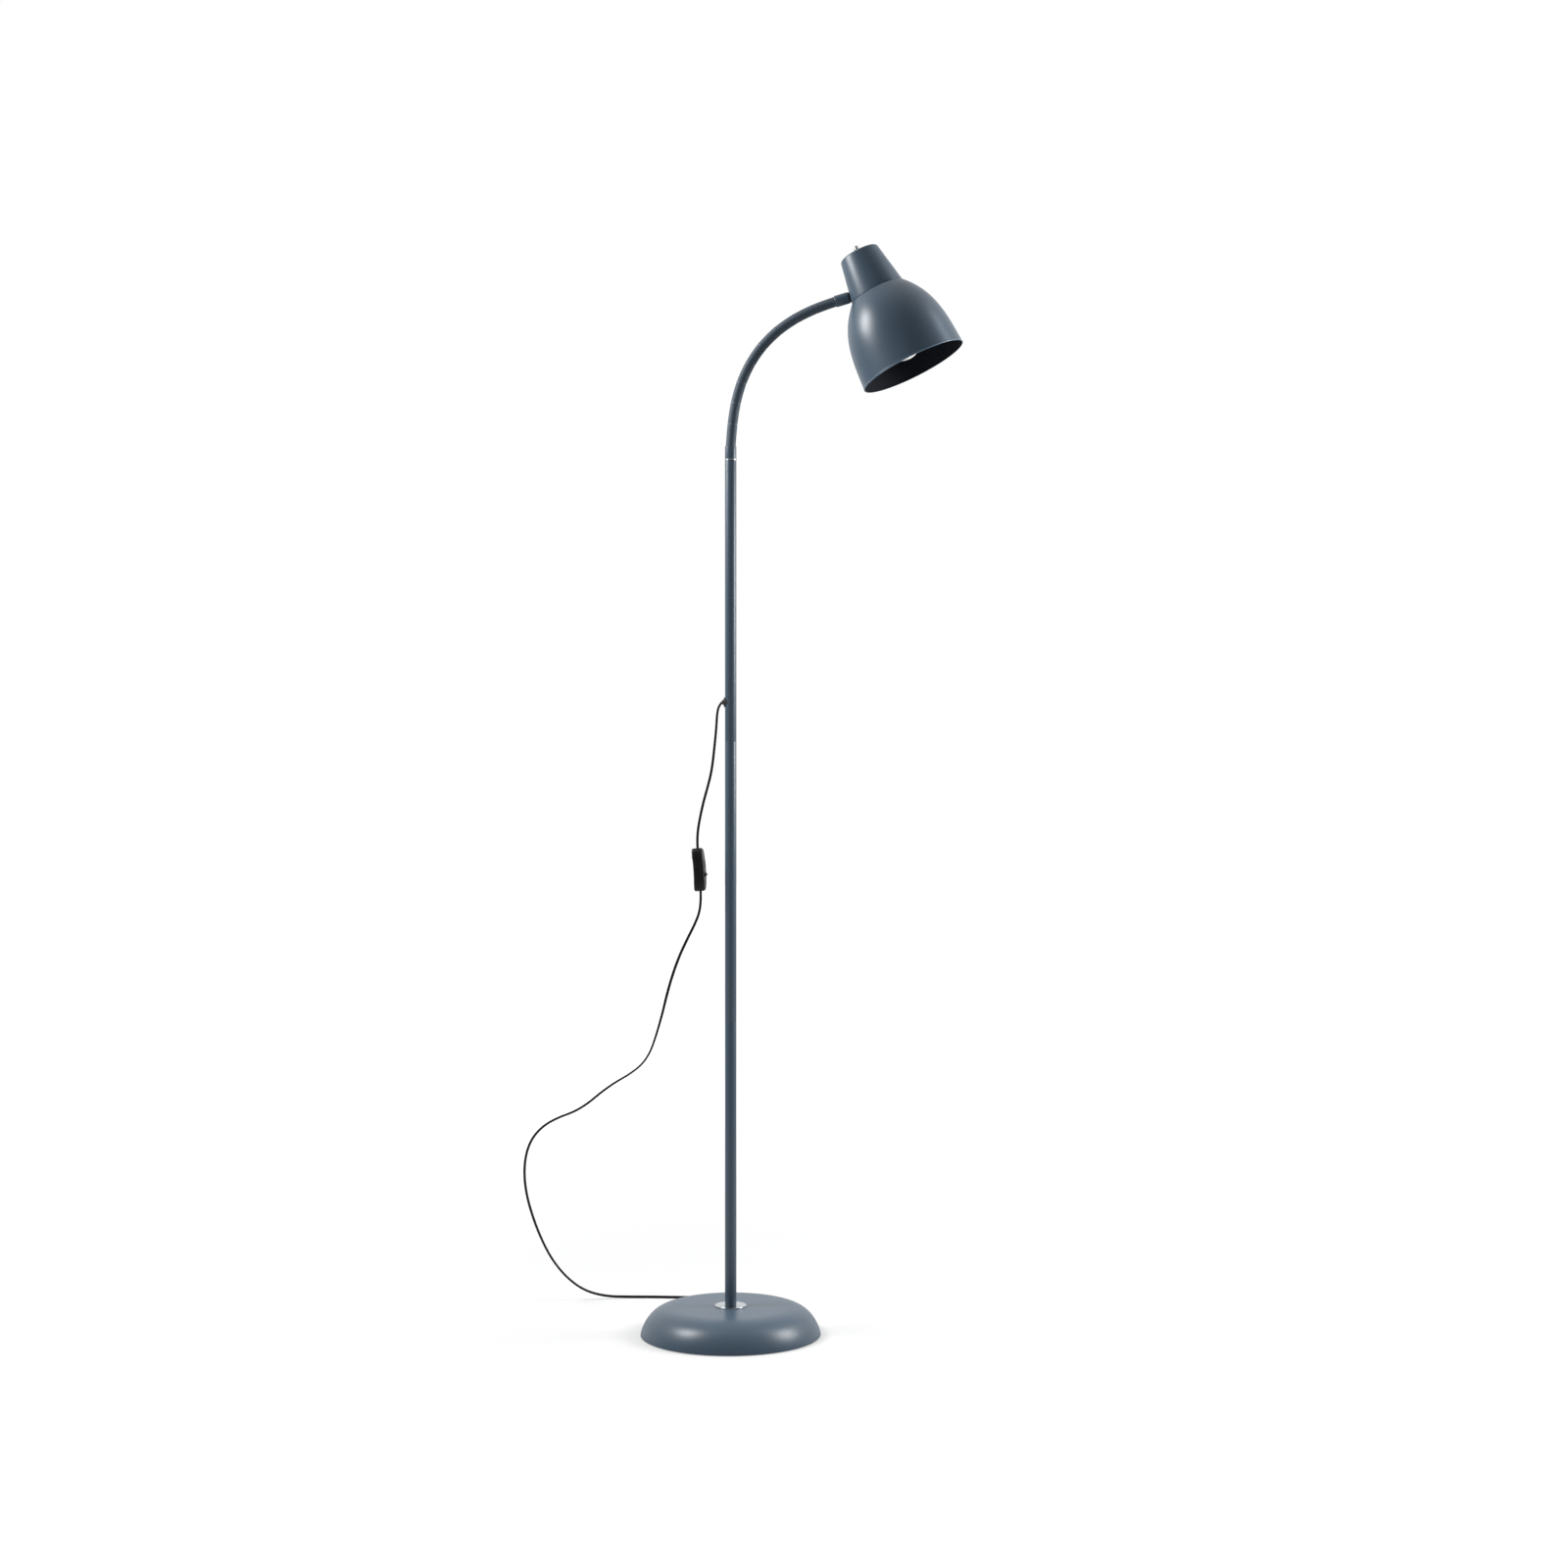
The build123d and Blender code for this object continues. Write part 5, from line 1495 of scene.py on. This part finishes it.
# ============================================================================ cord
@dataclass
class Cord:
    """The flat twin mains cord from the pole through its switch to the coil and the plug."""

    switch: CordSwitch
    plug: Plug
    width: float = 4.0
    thickness: float = 2.5
    waist: float = 0.13
    length: float = 1.9
    coil_centre: Place = (-45, 188)
    coil_radii: tuple[float, float] = (23.2, 20.4)
    coil_heights: tuple[float, float] = (3.0, 7.1)
    coil_turns: int = 4
    turn_points: int = 14
    around: int = 28

    upper: Sequence[Place] = (
        (-12.5, 0, 877.5), (-17, 0, 872), (-19.2, 0, 861), (-20.2, 0.5, 843), (-22.6, 1, 819),
        (-26.4, 0.5, 784), (-32, 0, 761), (-37.8, 0, 741), (-42.8, 0, 719), (-46.2, 0, 700),
    )
    lower: Sequence[Place] = (
        (-43.4, 0, 587), (-50, 0.5, 570), (-61.5, 2, 548), (-73.5, 4, 523), (-83.5, 6, 496),
        (-91.5, 8, 469), (-98.5, 10, 441), (-107, 12, 413), (-115.5, 14, 389), (-128, 17, 370.5),
        (-147, 20, 356), (-168, 23, 344), (-189, 26, 329), (-208, 30, 313), (-229, 34, 300),
        (-253, 38, 291), (-276, 44, 278), (-295, 54, 258), (-307, 67, 232), (-313, 83, 200),
        (-313, 101, 166), (-308, 119, 132), (-300, 137, 98), (-288, 154, 65), (-270, 170, 36),
        (-246, 184, 14), (-216, 196, 3.6), (-182, 204, 2.1), (-148, 208, 2.1), (-112, 209.5, 2.2),
        (-84, 210, 2.6), (-60, 210, 3.2),
    )
    tail: Sequence[Place] = (
        (-31, 210, 6), (-12, 209.5, 4.2), (7, 202, 2.4), (20, 189, 2.1), (26, 173, 2.1),
        (23, 157, 2.8), (13, 146.5, 5.2),
    )
    twist: Sequence[tuple[float, float]] = (
        (0.0, 30), (0.10, 50), (0.20, 45), (0.30, 45), (0.37, 75), (0.43, 70), (0.50, 5),
        (0.60, 45), (0.80, 50), (1.00, 20), (1.25, 0), (2.00, 0),
    )
    stand_up: tuple[float, float] = (0.95, 1.22)
    twist_window: int = 41
    straight_out: float = 8
    clamp_at: float = 20
    into_plug: float = 5
    tie_half: float = 4.5

    def coil(self) -> Array:
        """Return the coil's route, clockwise from its far side and back to it.

        Turn by turn the radius and the height step between two values each, so that the four
        turns lie two beside two.
        """
        count = self.coil_turns * self.turn_points
        turns = np.arange(1, count) / self.turn_points
        outer, inner = self.coil_radii
        low, high = self.coil_heights
        steps = (0, 0.85, 1.15, 2.85, 3.15, 4)
        radius = np.interp(turns, steps, (outer, outer, inner, inner, outer, outer))
        height = np.interp(turns, (0, 1.85, 2.15, 4), (low, low, high, high))
        angle = pi / 2 - 2 * pi * turns
        flat = radius[:, None] * np.stack([np.cos(angle), np.sin(angle)], axis=1)
        return np.column_stack([self.coil_centre + flat, height])

    def route(self) -> Array:
        """Return the points of the whole cord, in millimetres."""
        reach, clamp = self.switch.length / 2 + self.straight_out, self.clamp_at
        heights = (reach, clamp, -clamp, -reach)
        through = [self.switch.standing.point(0, 0, height) for height in heights]
        last = [self.plug.axes().point(0, 0, depth) for depth in (0, self.into_plug)]
        return np.concatenate([self.upper, through, self.lower, self.coil(), self.tail, last])

    def smooth_line(self) -> Array:
        """Return the places on the spline that has the route's points as control points."""
        curve = bpy.data.curves.new("cord_route", "CURVE")
        curve.dimensions = "3D"
        curve.resolution_u = 6
        spline = curve.splines.new("NURBS")
        route = self.route() * MM
        spline.points.add(len(route) - 1)
        spline.points.foreach_set("co", np.pad(route, ((0, 0), (0, 1)), constant_values=1).ravel())
        spline.order_u = 3
        spline.use_endpoint_u = True
        bare = bpy.data.objects.new("cord_route", curve)
        mesh = bpy.data.meshes.new_from_object(bare)
        places = np.zeros(len(mesh.vertices) * 3)
        mesh.vertices.foreach_get("co", places)
        bpy.data.meshes.remove(mesh)
        bpy.data.curves.remove(curve)
        return places.reshape(-1, 3) / MM

    def tube(self, line: Array) -> Object:
        """Sweep the flat section along the line.

        The section's broad way starts square to the line and to a guide, which turns from +Y to
        +Z where the cord comes to lie on the floor, and then turns about the line by the twist.
        Point (i, a) is (w/2) cos(a) broad + (t/2) sin(a) (1 - k e^(-9 cos(a)^2)) thin.

        Args:
            line: Places down its middle, in millimetres.
        """
        direction = unit(np.gradient(line, axis=0))
        steps = np.linalg.norm(np.diff(line, axis=0), axis=1)
        travel = np.concatenate([[0], np.cumsum(steps)]) * MM
        share = np.clip((travel - self.stand_up[0]) / np.ptp(self.stand_up), 0, 1)
        swing = pi / 2 * eased(share)
        guide = np.stack([np.zeros_like(swing), np.cos(swing), np.sin(swing)], axis=1)
        broad = unit(guide - np.sum(guide * direction, axis=1, keepdims=True) * direction)
        thin = np.cross(direction, broad)
        table = np.asarray(self.twist, float)
        turn = np.radians(np.interp(travel, table[:, 0], table[:, 1]))
        kernel = np.hanning(self.twist_window)
        turn = np.pad(turn, self.twist_window // 2, mode="edge")
        turn = np.convolve(turn, kernel / kernel.sum(), mode="valid")[:, None]
        broad, thin = (
            np.cos(turn) * broad + np.sin(turn) * thin,
            np.cos(turn) * thin - np.sin(turn) * broad,
        )
        angle = full_turn(self.around)
        across = self.width / 2 * np.cos(angle)
        waist = 1 - self.waist * np.exp(-9 * np.cos(angle) ** 2)
        deep = self.thickness / 2 * np.sin(angle) * waist
        rings = line[:, None] + across[:, None] * broad[:, None] + deep[:, None] * thin[:, None]
        ends = [np.repeat(end[:, None], self.around, axis=1) for end in (line[:1], line[-1:])]
        return surface("mains_cord", np.concatenate([ends[0], rings, ends[1]]))

    def tie(self) -> Object:
        """Loft the rubber strap round the coil as a closed ring.

        Its section is given over half its width, and mirrored for the other half.
        """
        half = self.tie_half
        edge = [(4.9, 5.1, 5, -half), (5.7, 5.55, 5, -half + 0.15), (5.75, 5.6, 5, -half + 0.6)]
        mirrored = [(*section, -height) for *section, height in edge[::-1]]
        stations = np.array(edge + mirrored + [(4.8, 5.0, 5, 0)])
        middle = (self.coil_centre[0] - 22, self.coil_centre[1], 5.65)
        axes = Axes.along(middle, (0, 1, 0), (1, 0, 0))
        return loft("coil_strap", stations, axes, 64, closed=True)

    def build(self, on_cord: list[Object]) -> None:
        """Make the cord and its strap.

        Args:
            on_cord: The pieces of the switch and the plug.
        """
        line = self.smooth_line()
        nodes = ("cord_upper", "cord_lower", "cord_coil", "cord_tail")
        tube = dressed(self.tube(line), CORD_SHEATH, "root", *nodes)
        tie = dressed(self.tie(), BLACK_RUBBER, "root", "cord_tie")
        on_cord + [tie]


# ============================================================================ studio
@dataclass
class Studio:
    """A white floor, a graded surround, three soft boxes and the photograph's camera."""

    distance: float = 3.2
    eye_height: float = 0.764
    beside_pole: float = 0.074
    yaw: float = 7.0
    view_width: float = 2.177
    sensor: float = 36.0
    floor_tone: float = 0.5
    glow_near: float = 0.27
    glow_far: float = 0.8
    glow_reach: tuple[float, float] = (0.35, 2.5)
    front_light: float = 0.12
    back_light: float = 0.95
    bright_lift: float = 0.8
    dark_until: float = -0.2
    bright_from: float = 0.75
    floor_half: float = 14.0

    def sight(self) -> Array:
        """Return the camera's direction, level and turned by the yaw."""
        return np.array([-sin(radians(self.yaw)), cos(radians(self.yaw)), 0])

    def right(self) -> Array:
        """Return the direction of the picture's right-hand side."""
        return np.array([cos(radians(self.yaw)), sin(radians(self.yaw)), 0])

    def camera(self) -> None:
        """Place the camera level with the middle of the lamp."""
        data = bpy.data.cameras.new("camera")
        data.sensor_width = self.sensor
        data.lens = self.sensor * self.distance / self.view_width
        data.clip_start, data.clip_end = 0.05, 60
        camera = linked(bpy.data.objects.new("camera", data))
        place = self.right() * self.beside_pole - self.sight() * self.distance
        camera.location = Vector(place) + Vector((0, 0, self.eye_height))
        camera.rotation_euler = Vector(self.sight()).to_track_quat("-Z", "Y").to_euler()
        bpy.context.scene.camera = camera

    def soft_box(
        self,
        name: str,
        place: Place,
        size: tuple[float, float],
        power: float,
        colour: Colour = (1, 1, 1),
    ) -> None:
        """Hang an area lamp that faces the middle of the lamp.

        Args:
            name: Its name.
            place: Metres to the picture's right, towards the camera and up, from the pole's foot.
            size: Its width and height.
            power: Its power in watts.
            colour: Its light's colour.
        """
        data = bpy.data.lights.new(name, "AREA")
        data.shape = "RECTANGLE"
        data.size, data.size_y = size
        data.energy = power
        data.color = colour
        lamp = linked(bpy.data.objects.new(name, data))
        spots = [
            self.right() * spot[0] - self.sight() * spot[1] + np.array([0, 0, spot[2]])
            for spot in (place, (0, 0, place[2] / 2))
        ]
        lamp.location = Vector(spots[0])
        facing = Vector(spots[1] - spots[0])
        lamp.rotation_euler = facing.to_track_quat("-Z", "Y").to_euler()
        lamp.visible_camera = False

    @staticmethod
    def seen(shader: Shader) -> Signal:
        """Return 1 for rays from the camera and 0 for others."""
        return Signal(shader, shader.node("LightPath").outputs["Is Camera Ray"])

    def floor(self) -> None:
        """Lay a wide white floor that keeps the lamp's soft shadow.

        Where it is seen it glows by near + (far - near) u^2 (3 - 2 u), with u the distance from
        the lamp's foot as a share of the glow's reach, so that it fades into the white behind it.
        """
        material = bpy.data.materials.new("studio_floor")
        material.use_nodes = True
        shader = Shader(material.node_tree)
        cloud = shader.noise(shader.object_place(), 3.0)
        grey = (self.floor_tone,) * 3
        tone = shader.mix(opaque(grey, 0.98), opaque(grey, 1.02), cloud)
        matt = shader.node("BsdfDiffuse", Color=tone)
        length = shader.node("VectorMath", {"operation": "LENGTH"}, in_0=shader.object_place())
        smooth = Signal(shader, length.outputs["Value"]).eased(*self.glow_reach)
        strength = self.glow_near + (self.glow_far - self.glow_near) * smooth
        glow = shader.node("Emission", Color=(1, 1, 1, 1), Strength=self.seen(shader) * strength)
        both = shader.node("AddShader", in_0=matt.outputs[0], in_1=glow.outputs[0])
        shader.node("OutputMaterial", Surface=both.outputs[0])
        half = self.floor_half
        mesh = bpy.data.meshes.new("studio_floor")
        corners = [(-half, -half, 0), (half, -half, 0), (half, half, 0), (-half, half, 0)]
        mesh.from_pydata(corners, [], [(0, 1, 2, 3)])
        mesh.materials.append(material)
        linked(bpy.data.objects.new("studio_floor", mesh))

    def world(self) -> None:
        """Surround the lamp with light that is bright behind and above it and dim in front of it.

        With c the cosine between a direction and the sight tipped upwards, and u its place from 0
        to 1 between the dark and the bright end, the strength is front + (back - front)
        u^2 (3 - 2 u), and 1 where it is seen.
        """
        world = bpy.data.worlds.new("studio")
        world.use_nodes = True
        bpy.context.scene.world = world
        shader = Shader(world.node_tree)
        towards = shader.node("TexCoord").outputs["Generated"]
        brightest = tuple(unit(self.sight() + (0, 0, self.bright_lift)))
        product = shader.node(
            "VectorMath", {"operation": "DOT_PRODUCT"}, in_0=towards, in_1=brightest
        )
        smooth = Signal(shader, product.outputs["Value"]).eased(self.dark_until, self.bright_from)
        dim = self.front_light + (self.back_light - self.front_light) * smooth
        strength = dim + self.seen(shader) * (1.0 - dim)
        light = shader.node("Background", Color=(1, 1, 1, 1), Strength=strength)
        shader.node("OutputWorld", Surface=light.outputs[0])

    def build(self) -> None:
        """Set up the studio."""
        bpy.context.scene.view_settings.view_transform = "Standard"
        self.camera()
        self.floor()
        self.world()
        self.soft_box("key_box", (-1.6, 0.22, 2.0), (0.7, 0.8), 44)
        self.soft_box("fill_box", (1.6, -0.05, 1.2), (0.6, 0.7), 26)
        self.soft_box("rim_box", (1.6, -0.05, 2.5), (0.4, 0.4), 3.5, (0.78, 0.88, 1.0))


def main() -> None:
    """Build the studio and the lamp, piece by piece."""
    logging.basicConfig(level=logging.INFO, format="%(name)s %(message)s")
    Studio().build()
    dress_carried_nodes()
    base = Base()
    base.build()
    pole = Pole(base)
    pole.build()
    neck = Gooseneck(pole)
    neck.build()
    Head(neck).build()
    switch, plug = CordSwitch(), Plug()
    on_cord = switch.build() + plug.build()
    Cord(switch, plug).build(on_cord)


if __name__ == "__main__":
    main()
